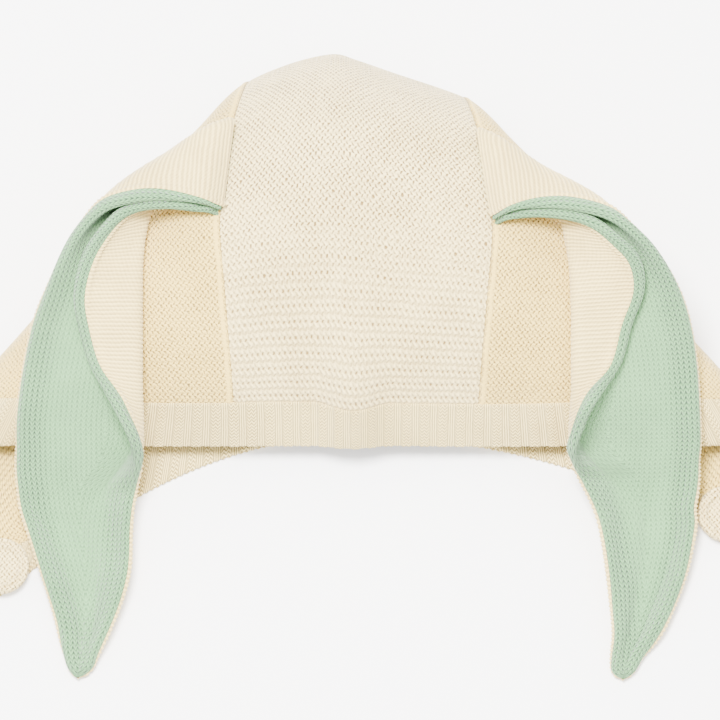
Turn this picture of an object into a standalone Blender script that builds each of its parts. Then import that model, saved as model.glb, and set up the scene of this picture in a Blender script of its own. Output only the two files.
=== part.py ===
"""Knitted baby hat with long lop ears, lying on a table with its nape side up.

Metres, +Z up. The hat rests on Z = 0. The crown is at +Y, and the chin flaps and the tips of the
ears reach to -Y. The face side is underneath. The origin is on the underside of the crown panel.
It is built from the edge of the nape hem at Y = 0, and moved to the origin at the end.

The body is one puffed shape. A place on it is (across, along): across runs from -2 at the left
side fold over the seams at -1 and 1 to 2 at the right side fold, and along runs from 0 at the
opening to 1 at the crown. upper() is the nape side and lower() the face side.
"""
from bisect import bisect_right
from math import acos, asin, cos, hypot, pi, radians, sin, sqrt

import bmesh
import bpy
from mathutils import Matrix, Vector

# Body
SEAM_SPAN = 0.095  # between the two seams of the crown panel, at its widest
SIDE_REACH = 0.1095  # from a seam to the side fold, along the nape hem
CROWN_DEPTH = 0.1434  # from the nape hem to the furthest point of the crown
PUFF_HEIGHT = 0.0515  # height of the nape side at the seams
CAMBER = 0.003  # how much higher the crown panel stands between its seams
FOLD_RADIUS = 0.006  # outer radius of the side folds
CLOTH = 0.0020  # thickness of the knitted body
PANEL_GAP = 0.0008  # between two panels at a seam
BAND_GAP = 0.00099  # between a panel and a band

REST_POINT = 0.060  # from the nape hem to the origin

# Crease that a fold along the middle has left in the crown panel
CREASE_ACROSS = -0.0015
CREASE_HALF_WIDTH = 0.014
CREASE_HEIGHT = 0.0055

# Bands
BAND_WIDTH = 0.0193
RIB_PITCH = 0.0064
RIB_DEPTH = 0.0005

# Face opening and chin flaps
FACE_ARCH = 0.007  # how far the middle of the face edge stands back from the nape hem
FLAP_DROP_LEFT = 0.042  # how far a flap's corner hangs past the nape hem
FLAP_DROP_RIGHT = 0.023
FLAP_CORNER = {-1: 0.748, 1: 0.783}  # the corner's place, as a share of the hem's half width
FLAP_END = 0.010  # how much further down the round end of a flap reaches
TAB_RADIUS = 0.010
TAB_LENGTH = 0.008  # between the centres of its two round ends
TAB_THICKNESS = 0.0018
TAB_RIM = 0.0008  # height of the raised rim
TAB_RIM_WIDTH = 0.0022
TAB_GAP = 0.0009
TAB_INSET = 0.001  # from a flap's corner to its tab

# Ears
EAR_OUT = 0.0717  # how far the outer rim lies from the root, seen from above
EAR_DROP = 0.1673  # from the root to the tip, seen from above
EAR_ROOT = 0.6  # where the rims meet the seam, as a share of the crown's depth
EAR_PLY = 0.0014  # thickness of the back and of the lining
EAR_GAP = 0.0003
EAR_FOLD = 0.0054  # between the middles of the two halves where the ear is folded
EAR_BULGE = 0.004  # how far the outer half bows out at the shoulder
EAR_OPEN = radians(160)  # angle between the halves where the ear lies open
EAR_STAND = 0.25  # share of the outer half's width that stands up where the fold opens
EAR_SEAT = 0.0023  # from the middle of an ear to what it lies on
EAR_FALL = 0.42  # slope at which an ear leaves the nape hem for the table
SIGHT = radians(75)  # elevation at which the ears' outlines were measured

# Nape side over the seams: share of the crown's depth, share of the puff's height.
NAPE_PROFILE = (
    ("along", "height"),
    (0.000, 0.225), (0.036, 0.375), (0.082, 0.527), (0.149, 0.690), (0.249, 0.835),
    (0.370, 0.945), (0.498, 0.997), (0.612, 1.000), (0.726, 0.950), (0.826, 0.835),
    (0.904, 0.665), (0.957, 0.475), (0.991, 0.285), (1.000, 0.205),
)
FACE_FLAT = 0.90  # share of the depth over which the face side is flat

# Crown's edge, from the left seam to the right one: share of the crown's depth.
CROWN_LINE = (
    ("across", "depth"),
    (-1.0, 0.930), (-0.8, 0.956), (-0.5, 0.985), (-0.2, 1.000),
    (0.0, 0.985), (0.4, 0.947), (0.75, 0.915), (1.0, 0.890),
)
# Seams: share of half the seam span.
SEAM_LINE = (
    ("along", "half_span"),
    (0.00, 0.895), (0.10, 0.905), (0.35, 0.965), (0.50, 1.000),
    (0.60, 0.985), (0.80, 0.915), (0.93, 0.840), (1.00, 0.800),
)
# Side folds: share of the side reach that lies beyond the seam.
SIDE_LINE = (
    ("along", "reach"),
    (0.00, 1.000), (0.12, 0.884), (0.24, 0.750), (0.33, 0.646), (0.48, 0.480),
    (0.63, 0.345), (0.75, 0.233), (0.85, 0.138), (0.93, 0.075), (1.00, 0.000),
)
# Height of the crease: share of the crease's height.
CREASE_LINE = (
    ("along", "height"),
    (0.00, 0.60), (0.08, 1.00), (0.18, 0.70), (0.35, 0.30), (0.60, 0.20), (0.90, 0.10), (1.00, 0.0),
)
# Round end of a flap, from its corner to the side fold: share of the flap end's drop.
FLAP_LINE = (
    ("outward", "drop"),
    (0.00, 0.00), (0.16, 0.60), (0.32, 0.95), (0.50, 1.00), (0.74, 0.40), (0.92, -1.20), (1.00, -4.2),
)
# Ears. rim and fold are places of the outer rim and of the lengthwise fold: out and down are
# shares of EAR_OUT and EAR_DROP from the root, high is a share of PUFF_HEIGHT above the table.
# roll turns the folded ear over, from outer half on top to inner half on top. inner is the inner
# half's width as a share of the outer half's, below zero where the ear lies open.
EAR_COLUMNS = (
    "rim_out", "rim_down", "rim_high", "fold_out", "fold_down", "fold_high", "roll", "inner",
)
EAR_LEFT = (
    (0.005, 0.032, 1.09, -0.050, -0.166, 0.94, 0, 0.80),
    (0.158, 0.017, 1.12, 0.103, -0.126, 0.92, 38, 0.82),
    (0.305, 0.007, 1.17, 0.192, -0.096, 0.90, 60, 0.84),
    (0.453, 0.011, 1.20, 0.276, -0.059, 0.88, 76, 0.85),
    (0.586, 0.036, 1.20, 0.345, -0.006, 0.87, 92, 0.85),
    (0.700, 0.077, 1.14, 0.389, 0.066, 0.86, 115, 0.82),
    (0.788, 0.130, 1.00, 0.404, 0.138, 0.85, 138, 0.77),
    (0.867, 0.205, 0.80, 0.404, 0.210, 0.81, 160, 0.68),
    (0.926, 0.272, 0.60, 0.404, 0.274, 0.75, 174, 0.54),
    (0.975, 0.373, 0.42, 0.404, 0.373, 0.65, 180, 0.36),
    (1.005, 0.470, 0.32, 0.404, 0.463, 0.47, 180, 0.16),
    (1.007, 0.534, 0.26, 0.420, 0.534, 0.34, 180, 0.02),
    (1.010, 0.577, 0.21, 0.484, 0.577, 0.24, 180, -0.13),
    (1.002, 0.619, 0.17, 0.583, 0.619, 0.15, 180, -0.39),
    (0.989, 0.661, 0.13, 0.667, 0.661, 0.10, 180, -0.73),
    (0.961, 0.700, 0.10, 0.700, 0.703, 0.07, 180, -1),
    (0.887, 0.795, 0.08, 0.670, 0.800, 0.06, 180, -1),
    (0.808, 0.897, 0.06, 0.670, 0.901, 0.05, 180, -1),
    (0.768, 0.964, 0.05, 0.690, 0.968, 0.05, 180, -1),
    (0.725, 1.000, 0.05, 0.703, 1.001, 0.05, 180, -1),
)
EAR_RIGHT = (
    (0.015, 0.032, 1.09, -0.060, -0.166, 0.94, 0, 0.80),
    (0.143, 0.011, 1.12, 0.080, -0.121, 0.92, 36, 0.82),
    (0.291, 0.002, 1.17, 0.192, -0.084, 0.90, 58, 0.84),
    (0.453, 0.007, 1.20, 0.290, -0.046, 0.88, 74, 0.85),
    (0.601, 0.032, 1.20, 0.355, -0.002, 0.87, 92, 0.85),
    (0.729, 0.066, 1.14, 0.386, 0.066, 0.86, 115, 0.84),
    (0.833, 0.109, 1.00, 0.404, 0.126, 0.85, 138, 0.80),
    (0.921, 0.172, 0.80, 0.411, 0.193, 0.81, 160, 0.66),
    (0.980, 0.247, 0.60, 0.414, 0.260, 0.75, 174, 0.46),
    (1.015, 0.342, 0.42, 0.414, 0.355, 0.65, 180, 0.31),
    (1.030, 0.447, 0.32, 0.414, 0.443, 0.47, 180, 0.09),
    (1.034, 0.500, 0.26, 0.420, 0.495, 0.34, 180, 0.02),
    (1.026, 0.536, 0.22, 0.475, 0.536, 0.26, 180, -0.13),
    (1.026, 0.568, 0.19, 0.573, 0.568, 0.17, 180, -0.32),
    (1.019, 0.604, 0.15, 0.672, 0.604, 0.12, 180, -0.60),
    (1.005, 0.642, 0.12, 0.736, 0.642, 0.09, 180, -0.87),
    (1.010, 0.679, 0.10, 0.773, 0.684, 0.07, 180, -1),
    (0.960, 0.781, 0.08, 0.768, 0.785, 0.06, 180, -1),
    (0.857, 0.884, 0.06, 0.729, 0.888, 0.05, 180, -1),
    (0.764, 0.954, 0.05, 0.675, 0.958, 0.05, 180, -1),
    (0.672, 1.000, 0.05, 0.650, 1.002, 0.05, 180, -1),
)

# Counts of rows and columns
PANEL_ROWS = 15
CROWN_COLUMNS = (
    -1.0, -0.74, -0.48, -0.3, -0.2, -0.12, -0.05, 0.02, 0.09, 0.17, 0.27, 0.45, 0.72, 1.0,
)
SIDE_COLUMNS = (1.0, 1.16, 1.32, 1.48, 1.63, 1.76, 1.89, 2.0)
BAND_MEETING = 1.90  # where the two bands meet, on the nape side of the side fold
BAND_MEETING_GAP = 0.02
BAND_ROWS = 2
EAR_ROWS = 27
SQUEEZE_ROUNDS = 12
LEAST_FACING = 0.3  # cosine between a facet of the ear and the one it is offset from
LIFT_PASSES = 6  # rounds of smoothing of an ear's heights
OUTER_HALF = (1.0, 0.88, 0.6, 0.3)  # shares of an ear's outer half, from its rim to the fold
INNER_HALF = (0.35, 0.75, 1.0)
FOLD_STEPS = 4  # straight steps round the fold
PROFILE_STEPS = 12  # straight steps between two rows of the profile
MARCH_STEP = 0.004  # step along the body, as a share of its depth

# Colours, roughness
CREAM = (0.93, 0.86, 0.72)
CREAM_DEEP = (0.89, 0.80, 0.62)
MINT = (0.56, 0.70, 0.56)
KNIT_ROUGHNESS = 0.95


def catmull(points, at):
    """Point on the smooth curve through the points; at counts them from 0."""
    last = len(points) - 1
    at = min(max(at, 0.0), float(last))
    i = min(int(at), last - 1)
    t = at - i
    p1, p2 = Vector(points[i]), Vector(points[i + 1])
    p0 = Vector(points[i - 1]) if i > 0 else p1 * 2 - p2
    p3 = Vector(points[i + 2]) if i + 2 <= last else p2 * 2 - p1
    return 0.5 * (2 * p1 + (p2 - p0) * t + (2 * p0 - 5 * p1 + 4 * p2 - p3) * t * t
                  + (3 * p1 - 3 * p2 + p3 - p0) * t ** 3)


def dense(table):
    """Closely spaced rows of the smooth curve through a two-column table."""
    rows = table[1:]
    steps = (len(rows) - 1) * PROFILE_STEPS
    return [tuple(catmull(rows, i / PROFILE_STEPS)) for i in range(steps + 1)]


def reader(table):
    """Function that reads the second column at a value of the first."""
    rows = dense(table)
    keys = [row[0] for row in rows]

    def read(key):
        i = min(max(bisect_right(keys, key) - 1, 0), len(rows) - 2)
        (k0, v0), (k1, v1) = rows[i], rows[i + 1]
        share = 0.0 if k1 <= k0 else min(max((key - k0) / (k1 - k0), 0.0), 1.0)
        return v0 + (v1 - v0) * share

    return read


nape_height = reader(NAPE_PROFILE)
crown_depth = reader(CROWN_LINE)
half_span = reader(SEAM_LINE)
side_share = reader(SIDE_LINE)
crease_share = reader(CREASE_LINE)
flap_share = reader(FLAP_LINE)
CROWN_FOLD_HEIGHT = nape_height(1.0) * PUFF_HEIGHT
FLAP_DROP = {-1: FLAP_DROP_LEFT, 1: FLAP_DROP_RIGHT}


def seam_x(along):
    return half_span(along) * SEAM_SPAN / 2


def corner_x(side):
    """Distance of a flap's corner from the middle."""
    return FLAP_CORNER[side] * (seam_x(0) + SIDE_REACH)


def depth_at(across):
    return crown_depth(min(max(across, -1.0), 1.0)) * CROWN_DEPTH


def fold_height(along):
    """Height of the side fold's outermost line."""
    return FOLD_RADIUS + (CROWN_FOLD_HEIGHT - FOLD_RADIUS) * along ** 4


def round_edge(distance, radius):
    """0 at the fold, rising along a quarter circle to 1 at its radius."""
    if distance >= radius:
        return 1.0
    return sqrt(max(0.0, 1 - (1 - distance / radius) ** 2))


def side_section(along, share, nape):
    """Distance from the middle and height on a side panel; share is 0 at the seam, 1 at the fold."""
    reach = side_share(along) * SIDE_REACH
    fold = fold_height(along)
    rounding = round_edge((1 - share) * reach, max(min(fold, reach), 1e-6))
    if nape:
        top = nape_height(along) * PUFF_HEIGHT
        edge = min(fold, max(top - fold, 0.0))
        height = fold + edge * rounding + (top - fold - edge) * (1 - share * share) ** 0.75
    else:
        flat = face_height(along, CROWN_FOLD_HEIGHT)
        height = flat + (fold - flat) * (1 - rounding)
    return seam_x(along) + reach * share, height


def face_height(along, fold):
    """Height of the face side's outer surface, which turns up to the crown's fold."""
    turn = min(max((along - FACE_FLAT) / (1 - FACE_FLAT), 0.0), 1.0)
    return fold * (1 - sqrt(1 - turn * turn))


def crease(x, along):
    """How far the crease lifts the crown panel."""
    nearness = max(0.0, 1 - ((x - CREASE_ACROSS) / CREASE_HALF_WIDTH) ** 2)
    return CREASE_HEIGHT * crease_share(along) * nearness ** 2


def face_edge(x):
    """Y of the face opening's edge."""
    side = -1 if x < 0 else 1
    corner = corner_x(side)
    distance = abs(x)
    if distance <= corner:
        return FACE_ARCH - (FACE_ARCH + FLAP_DROP[side]) * (distance / corner) ** 2
    fold = seam_x(0) + SIDE_REACH
    outward = min((distance - corner) / (fold - corner), 1.0)
    end = -FLAP_DROP[side] - FLAP_END * flap_share(outward)
    return end * min(1.0, sqrt(max(0.0, 1 - outward ** 6)))


def split(across):
    """Side and share of a side panel for a place beyond a seam."""
    side = -1 if across < 0 else 1
    return side, sin(min(abs(across) - 1, 1.0) * pi / 2)


def upper(across, along, gap=0.0):
    """Point of the nape side. A gap draws the crown panel in at the seams, and one below zero
    draws the side panels out."""
    depth = depth_at(across)
    if abs(across) <= 1:
        x = across * (seam_x(along) - gap / 2)
        camber = CAMBER * (1 - across * across) * sin(pi * min(along * 1.2, 1.0) * 0.5)
        z = nape_height(along) * PUFF_HEIGHT + camber * min(1.0, (1 - along) * 4)
        slope = (nape_height(along + 0.01) - nape_height(along - 0.01)) * PUFF_HEIGHT / (0.02 * depth)
        lift = crease(x, along)
        lean = hypot(1, slope)
        return Vector((x, depth * along - lift * slope / lean, z + lift / lean))
    side, share = split(across)
    x, z = side_section(along, share, True)
    return Vector((side * (x - gap / 2 * (1 - share)), depth * along, z))


def lower(across, along, gap=0.0):
    """Point of the face side."""
    depth = depth_at(across)
    if abs(across) <= 1:
        x = across * (seam_x(along) - gap / 2)
        edge = face_edge(across * seam_x(0))
        return Vector((x, edge + (depth - edge) * along, face_height(along, CROWN_FOLD_HEIGHT)))
    side, share = split(across)
    x, z = side_section(along, share, False)
    edge = face_edge(side * (seam_x(0) + SIDE_REACH * share))
    return Vector((side * (x - gap / 2 * (1 - share)), edge + (depth - edge) * along, z))


def inset(surface, across, length):
    """How far along the body a length measured from the opening's edge reaches."""
    along = 0.0
    here = surface(across, along)
    while length > 0 and along < 1:
        there = surface(across, along + MARCH_STEP)
        step = (there - here).length
        if step >= length:
            return along + MARCH_STEP * length / step
        length -= step
        along += MARCH_STEP
        here = there
    return along


def even_places(place, start, stop, count):
    """Values from start to stop whose places lie evenly spaced, count steps in all."""
    fine = 400
    values = [start + (stop - start) * i / fine for i in range(fine + 1)]
    points = [place(value) for value in values]
    walked = [0.0]
    for a, b in zip(points, points[1:]):
        walked.append(walked[-1] + (b - a).length)
    result = []
    for i in range(count + 1):
        goal = walked[-1] * i / count
        k = min(max(bisect_right(walked, goal) - 1, 0), fine - 1)
        share = (goal - walked[k]) / max(walked[k + 1] - walked[k], 1e-12)
        result.append(values[k] + (values[k + 1] - values[k]) * min(share, 1.0))
    return result, walked[-1]


def row_shares():
    """Rows of a panel, from its band to the crown, evenly spaced over the puffed profile."""
    def place(at):
        along, height = catmull(NAPE_PROFILE[1:], at)
        return Vector((along * CROWN_DEPTH, height * PUFF_HEIGHT, 0))

    first = 2  # the profile's row at the band's inner edge
    ats, _ = even_places(place, first, len(NAPE_PROFILE) - 2, PANEL_ROWS)
    alongs = [catmull(NAPE_PROFILE[1:], at)[0] for at in ats]
    return [(along - alongs[0]) / (1 - alongs[0]) for along in alongs]


def grid_object(name, rows, material):
    """Mesh object from rows of points; a row's points that meet are welded."""
    mesh = bpy.data.meshes.new(name)
    bm = bmesh.new()
    verts = [[bm.verts.new(point) for point in row] for row in rows]
    for r in range(len(rows) - 1):
        for c in range(len(rows[0]) - 1):
            bm.faces.new((verts[r][c], verts[r][c + 1], verts[r + 1][c + 1], verts[r + 1][c]))
    bmesh.ops.remove_doubles(bm, verts=bm.verts, dist=1e-5)
    bmesh.ops.recalc_face_normals(bm, faces=bm.faces)
    bm.to_mesh(mesh)
    bm.free()
    mesh.shade_smooth()
    mesh.materials.append(material)
    obj = bpy.data.objects.new(name, mesh)
    collection.objects.link(obj)
    return obj


def face_towards(obj, inside_out):
    """Turn the faces of an open sheet over if they look the wrong way."""
    if inside_out:
        obj.data.flip_normals()


def thicken(obj, thickness, offset):
    """Give an open sheet its thickness."""
    solid = obj.modifiers.new("thickness", "SOLIDIFY")
    solid.thickness = thickness
    solid.offset = offset
    solid.use_even_offset = True
    solid.use_rim = True


def outward(obj, probe):
    """True if the face nearest the probe looks towards it."""
    nearest = min(obj.data.polygons, key=lambda face: (face.center - probe).length)
    return nearest.normal.dot(probe - nearest.center) > 0


def body_shell(name, rows, material):
    """A piece of the body: outer surface, with its thickness inwards."""
    obj = grid_object(name, rows, material)
    middle = rows[len(rows) // 2][len(rows[0]) // 2]
    hollow = Vector((0, CROWN_DEPTH * 0.4, PUFF_HEIGHT * 0.45))
    face_towards(obj, not outward(obj, middle + (middle - hollow)))
    thicken(obj, CLOTH, -1)
    return obj


def crown_panel(material, shares):
    rows = []
    for surface, order in ((upper, shares), (lower, shares[-2::-1])):
        starts = [inset(surface, across, BAND_WIDTH + BAND_GAP) for across in CROWN_COLUMNS]
        for share in order:
            rows.append([surface(across, start + (1 - start) * share, PANEL_GAP)
                         for across, start in zip(CROWN_COLUMNS, starts)])
    return body_shell("crown_panel", rows, material)


def side_panel(side, name, material, shares):
    columns = [(upper, side * a) for a in SIDE_COLUMNS]
    columns += [(lower, side * a) for a in SIDE_COLUMNS[-2::-1]]
    starts = [inset(surface, across, BAND_WIDTH + BAND_GAP) for surface, across in columns]
    rows = [[surface(across, start + (1 - start) * share, -PANEL_GAP)
             for (surface, across), start in zip(columns, starts)] for share in shares]
    return body_shell(name, rows, material)


def facet_point(surface, across, length):
    """Point on the straight edge that a panel has between two of its columns."""
    columns = sorted([side * c for side in (-1, 1) for c in SIDE_COLUMNS[1:]] + list(CROWN_COLUMNS))
    i = min(max(bisect_right(columns, across) - 1, 0), len(columns) - 2)
    a, b = columns[i], columns[i + 1]
    start = surface(a, inset(surface, a, length))
    end = surface(b, inset(surface, b, length))
    return start.lerp(end, (across - a) / (b - a))


def around(across):
    """Surface and place for a place that may lie past the side fold, on the nape side."""
    if abs(across) <= 2:
        return lower, across
    return upper, (4 - abs(across)) * (1 if across > 0 else -1)


def band(name, place, end, material):
    """Ribbed band along the opening, from -end to end; place gives a surface and a place on it."""
    def middle(across):
        surface, across = place(across)
        return surface(across, inset(surface, across, BAND_WIDTH / 2))

    _, length = even_places(middle, -end, end, 1)
    ribs = round(length / RIB_PITCH)
    columns, _ = even_places(middle, -end, end, 2 * ribs)
    for corner in [side * c for side in (-1, 1) for c in SIDE_COLUMNS if c < min(end, 2)]:
        nearest = min(range(len(columns)), key=lambda i: abs(columns[i] - corner))
        columns[nearest] = corner
    rows = [[] for _ in range(BAND_ROWS + 1)]
    for c, column in enumerate(columns):
        surface, across = place(column)
        edge = surface(across, 0)
        inner = facet_point(surface, across, BAND_WIDTH)
        halfway = surface(across, inset(surface, across, BAND_WIDTH / 2))
        for row, point in zip(rows, (edge, halfway, inner)):
            point.z += RIB_DEPTH * (c % 2)
            row.append(point)
    return body_shell(name, rows, material)


def support(x, y):
    """Height of what lies under an ear: the hat, a flap or the table."""
    side = -1 if x < 0 else 1
    if y < 0:
        flap = CLOTH + RIB_DEPTH if y > face_edge(x) else 0.0
        return max(flap, support(x, 0) + EAR_FALL * y)
    along = min(y / depth_at(side), 1.0)
    seam = seam_x(along)
    reach = side_share(along) * SIDE_REACH
    if abs(x) <= seam:
        return upper(x / seam, along).z
    if abs(x) >= seam + reach:
        return CLOTH
    return side_section(along, (abs(x) - seam) / reach, True)[1]


def seen_from_above(side, out, down):
    """Distance from the middle, and height in the view, of a place on an ear."""
    root = upper(side * 1.0, EAR_ROOT)
    seen = root.y * sin(SIGHT) + root.z * cos(SIGHT) - down * EAR_DROP
    return side * (abs(root.x) + out * EAR_OUT), seen


def at_height(x, seen, z):
    return Vector((x, (seen - z * cos(SIGHT)) / sin(SIGHT), z))


def ear_section(side, row):
    """Points across an ear, from its outer rim round the fold to its inner rim."""
    station = dict(zip(EAR_COLUMNS, row))
    x, seen = seen_from_above(side, station["fold_out"], station["fold_down"])
    fold = at_height(x, seen, station["fold_high"] * PUFF_HEIGHT)
    x, seen = seen_from_above(side, station["rim_out"], station["rim_down"])
    rim = at_height(x, seen, station["rim_high"] * PUFF_HEIGHT)
    roll = radians(station["roll"])
    towards = Vector((-side * sin(roll) * sqrt(0.5), -sin(roll) * sqrt(0.5), -cos(roll)))
    share = station["inner"]
    opening = min(acos(min(max(share / EAR_STAND, -1), 1)), EAR_OPEN)
    radius = min(EAR_FOLD / 2 * (1 + 2 * opening / pi), (rim - fold).length * 0.35)
    middle = -pi + opening / 2  # angle of the fold on its arc
    out = (rim - fold - towards * radius * (-sin(middle) - 1)).normalized()
    towards = (towards - out * towards.dot(out)).normalized()
    centre = fold - (out * cos(middle) + towards * sin(middle)) * radius
    start = centre - towards * radius
    width = (rim - start).length
    bow = towards * -EAR_BULGE * sin(roll) ** 2
    points = [start.lerp(rim, t) + bow * 4 * t * (1 - t) for t in OUTER_HALF]
    for step in range(FOLD_STEPS + 1):
        angle = -pi / 2 - (pi - opening) * step / FOLD_STEPS
        points.append(centre + (out * cos(angle) + towards * sin(angle)) * radius)
    away = out * cos(opening) + towards * sin(opening)
    length = max(abs(share), EAR_STAND) * width
    points += [points[len(OUTER_HALF) + FOLD_STEPS] + away * length * t for t in INNER_HALF]
    return points


def ball_over(x, y):
    """Lowest height at which the middle of an ear clears what lies under it."""
    height = support(x, y) + EAR_SEAT
    for ring in (0.55, 0.9):
        reach = EAR_SEAT * ring
        rise = sqrt(EAR_SEAT ** 2 - reach ** 2)
        for step in range(12):
            angle = step * pi / 6
            height = max(height, support(x + reach * cos(angle), y + reach * sin(angle)) + rise)
    return height


def laid_on_hat(rows):
    """Rows lifted clear of the hat, along the line of sight, smoothly from row to row."""
    lifts = [max(max(0.0, ball_over(point.x, point.y) - point.z) for point in row) for row in rows]
    for _ in range(LIFT_PASSES):
        padded = [lifts[0]] + lifts + [lifts[-1]]
        lifts = [max(here, (before + after) / 2)
                 for before, here, after in zip(padded, lifts, padded[2:])]
    slide = cos(SIGHT) / sin(SIGHT)
    return [[point + Vector((0, -lift * slide, lift)) for point in row]
            for row, lift in zip(rows, lifts)]


def ear_rows(side, table, rows):
    """Rows of points along an ear, from its root to its tip."""
    stations = [ear_section(side, row) for row in table]
    centre = [station[len(OUTER_HALF) - 1] for station in stations]
    ats, _ = even_places(lambda at: catmull(centre, at), 0, len(table) - 1, rows)
    columns = range(len(stations[0]))
    points = [[catmull([station[c] for station in stations], at) for c in columns] for at in ats]
    return laid_on_hat(points)


def grid_normals(rows, sign):
    """Unit normals at the points of a grid."""
    normals = []
    last_row, last_column = len(rows) - 1, len(rows[0]) - 1
    for r, row in enumerate(rows):
        line = []
        for c in range(len(row)):
            along = rows[min(r + 1, last_row)][c] - rows[max(r - 1, 0)][c]
            across = row[min(c + 1, last_column)] - row[max(c - 1, 0)]
            line.append(along.cross(across).normalized() * sign)
        normals.append(line)
    return normals


def facets(last_row, last_column):
    """Corners of the two triangles in each cell of a grid."""
    for r in range(last_row):
        for c in range(last_column):
            yield (r, c), (r, c + 1), (r + 1, c + 1)
            yield (r, c), (r + 1, c + 1), (r + 1, c)


def offset(rows, normals, near, far):
    """Grid at a distance from another. In a tight fold it comes nearer, where it would fold over."""
    shares = [[1.0] * len(row) for row in rows]
    for _ in range(SQUEEZE_ROUNDS):
        skin = [[point + normal * (near + (far - near) * share) for point, normal, share in zip(*line)]
                for line in zip(rows, normals, shares)]
        tight = set()
        for corners in facets(len(rows) - 1, len(rows[0]) - 1):
            def facing(grid):
                a, b, c = [grid[r][c] for r, c in corners]
                return (b - a).cross(c - a).normalized()
            if facing(skin).dot(facing(rows)) < LEAST_FACING:
                tight.update(corners)
        if not tight:
            break
        for r, c in tight:
            shares[r][c] *= 0.85
    return skin


def ply(name, rows, normals, near, far, material):
    """Closed layer between two distances from a grid of points."""
    bm = bmesh.new()
    skins = [[[bm.verts.new(point) for point in line] for line in offset(rows, normals, 0, near)],
             [[bm.verts.new(point) for point in line] for line in offset(rows, normals, near, far)]]
    last_row, last_column = len(rows) - 1, len(rows[0]) - 1
    for skin in skins:
        for corners in facets(last_row, last_column):
            bm.faces.new([skin[r][c] for r, c in corners])
    border = [(0, c) for c in range(last_column)] + [(r, last_column) for r in range(last_row)]
    border += [(last_row, c) for c in range(last_column, 0, -1)] + [(r, 0) for r in range(last_row, 0, -1)]
    inner, outer = skins
    for (r, c), (r2, c2) in zip(border, border[1:] + border[:1]):
        bm.faces.new((inner[r][c], inner[r2][c2], outer[r2][c2], outer[r][c]))
    bmesh.ops.recalc_face_normals(bm, faces=bm.faces)
    mesh = bpy.data.meshes.new(name)
    bm.to_mesh(mesh)
    bm.free()
    mesh.materials.append(material)
    collection.objects.link(bpy.data.objects.new(name, mesh))


def ear(side, suffix, table, cream, mint):
    rows = ear_rows(side, table, EAR_ROWS)
    normals = grid_normals(rows, -side)
    near = EAR_GAP / 2
    ply("ear_back_" + suffix, rows, normals, -near, -near - EAR_PLY, cream)
    ply("ear_lining_" + suffix, rows, normals, near, near + EAR_PLY, mint)


def chin_tab(side, suffix, material):
    """Round-ended tab on the end of a flap, with a raised rim."""
    near = Vector((side * (corner_x(side) + TAB_RADIUS + TAB_INSET), -FLAP_DROP[side], 0))
    far = near + Vector((side * TAB_LENGTH, 0, 0))
    base = CLOTH + RIB_DEPTH + TAB_GAP
    steps = 10
    outline = []
    for centre, start in ((far, -pi / 2), (near, pi / 2)):
        for i in range(steps + 1):
            angle = start + pi * i / steps
            outline.append(centre + Vector((side * cos(angle), sin(angle), 0)) * TAB_RADIUS)
    mesh = bpy.data.meshes.new("chin_tab_" + suffix)
    bm = bmesh.new()
    face = bm.faces.new([bm.verts.new(point + Vector((0, 0, base))) for point in outline])
    top = bmesh.ops.extrude_face_region(bm, geom=[face])["geom"]
    raised = [v for v in top if isinstance(v, bmesh.types.BMVert)]
    bmesh.ops.translate(bm, verts=raised, vec=(0, 0, TAB_THICKNESS + TAB_RIM))
    cap = [f for f in top if isinstance(f, bmesh.types.BMFace)]
    bmesh.ops.inset_region(bm, faces=cap, thickness=TAB_RIM_WIDTH, depth=-TAB_RIM)
    bmesh.ops.recalc_face_normals(bm, faces=bm.faces)
    bm.to_mesh(mesh)
    bm.free()
    mesh.materials.append(material)
    collection.objects.link(bpy.data.objects.new("chin_tab_" + suffix, mesh))


def knit(name, colour):
    material = bpy.data.materials.new(name)
    material.use_nodes = True
    shader = material.node_tree.nodes["Principled BSDF"]
    shader.inputs["Base Color"].default_value = (*colour, 1)
    shader.inputs["Roughness"].default_value = KNIT_ROUGHNESS
    shader.inputs["Metallic"].default_value = 0
    return material


for old in list(bpy.data.objects):
    bpy.data.objects.remove(old, do_unlink=True)
collection = bpy.data.collections.new("baby_hat")
bpy.context.scene.collection.children.link(collection)

rows = row_shares()
crown_panel(knit("crown_knit", CREAM), rows)
side_panel(-1, "side_panel_left", knit("side_knit_left", CREAM_DEEP), rows)
side_panel(1, "side_panel_right", knit("side_knit_right", CREAM_DEEP), rows)
band("neck_band", lambda across: (upper, across), BAND_MEETING - BAND_MEETING_GAP, knit("neck_rib", CREAM))
band("face_band", around, 4 - BAND_MEETING - BAND_MEETING_GAP, knit("face_rib", CREAM_DEEP))
for ear_side, ear_name, ear_table in ((-1, "left", EAR_LEFT), (1, "right", EAR_RIGHT)):
    ear(ear_side, ear_name, ear_table, knit("ear_knit_" + ear_name, CREAM), knit("lining_" + ear_name, MINT))
    chin_tab(ear_side, ear_name, knit("tab_knit_" + ear_name, CREAM))
for obj in collection.objects:
    obj.data.transform(Matrix.Translation((0, -REST_POINT, 0)))
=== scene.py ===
"""Looks of a knitted baby hat with long lop ears, lying with its nape side up.

Each piece is a fine sheet over the surface of its solid. The body is a puffed shape whose points
have a place across, 0 in the middle, 1 at a seam and 2 at a side fold, and a place along, 0 at
the hem and 1 at the crown. An ear is a row of cross-sections from its root to its tip. The
stitches are in the mesh where they are large and in the materials where they are fine.
"""

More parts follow.
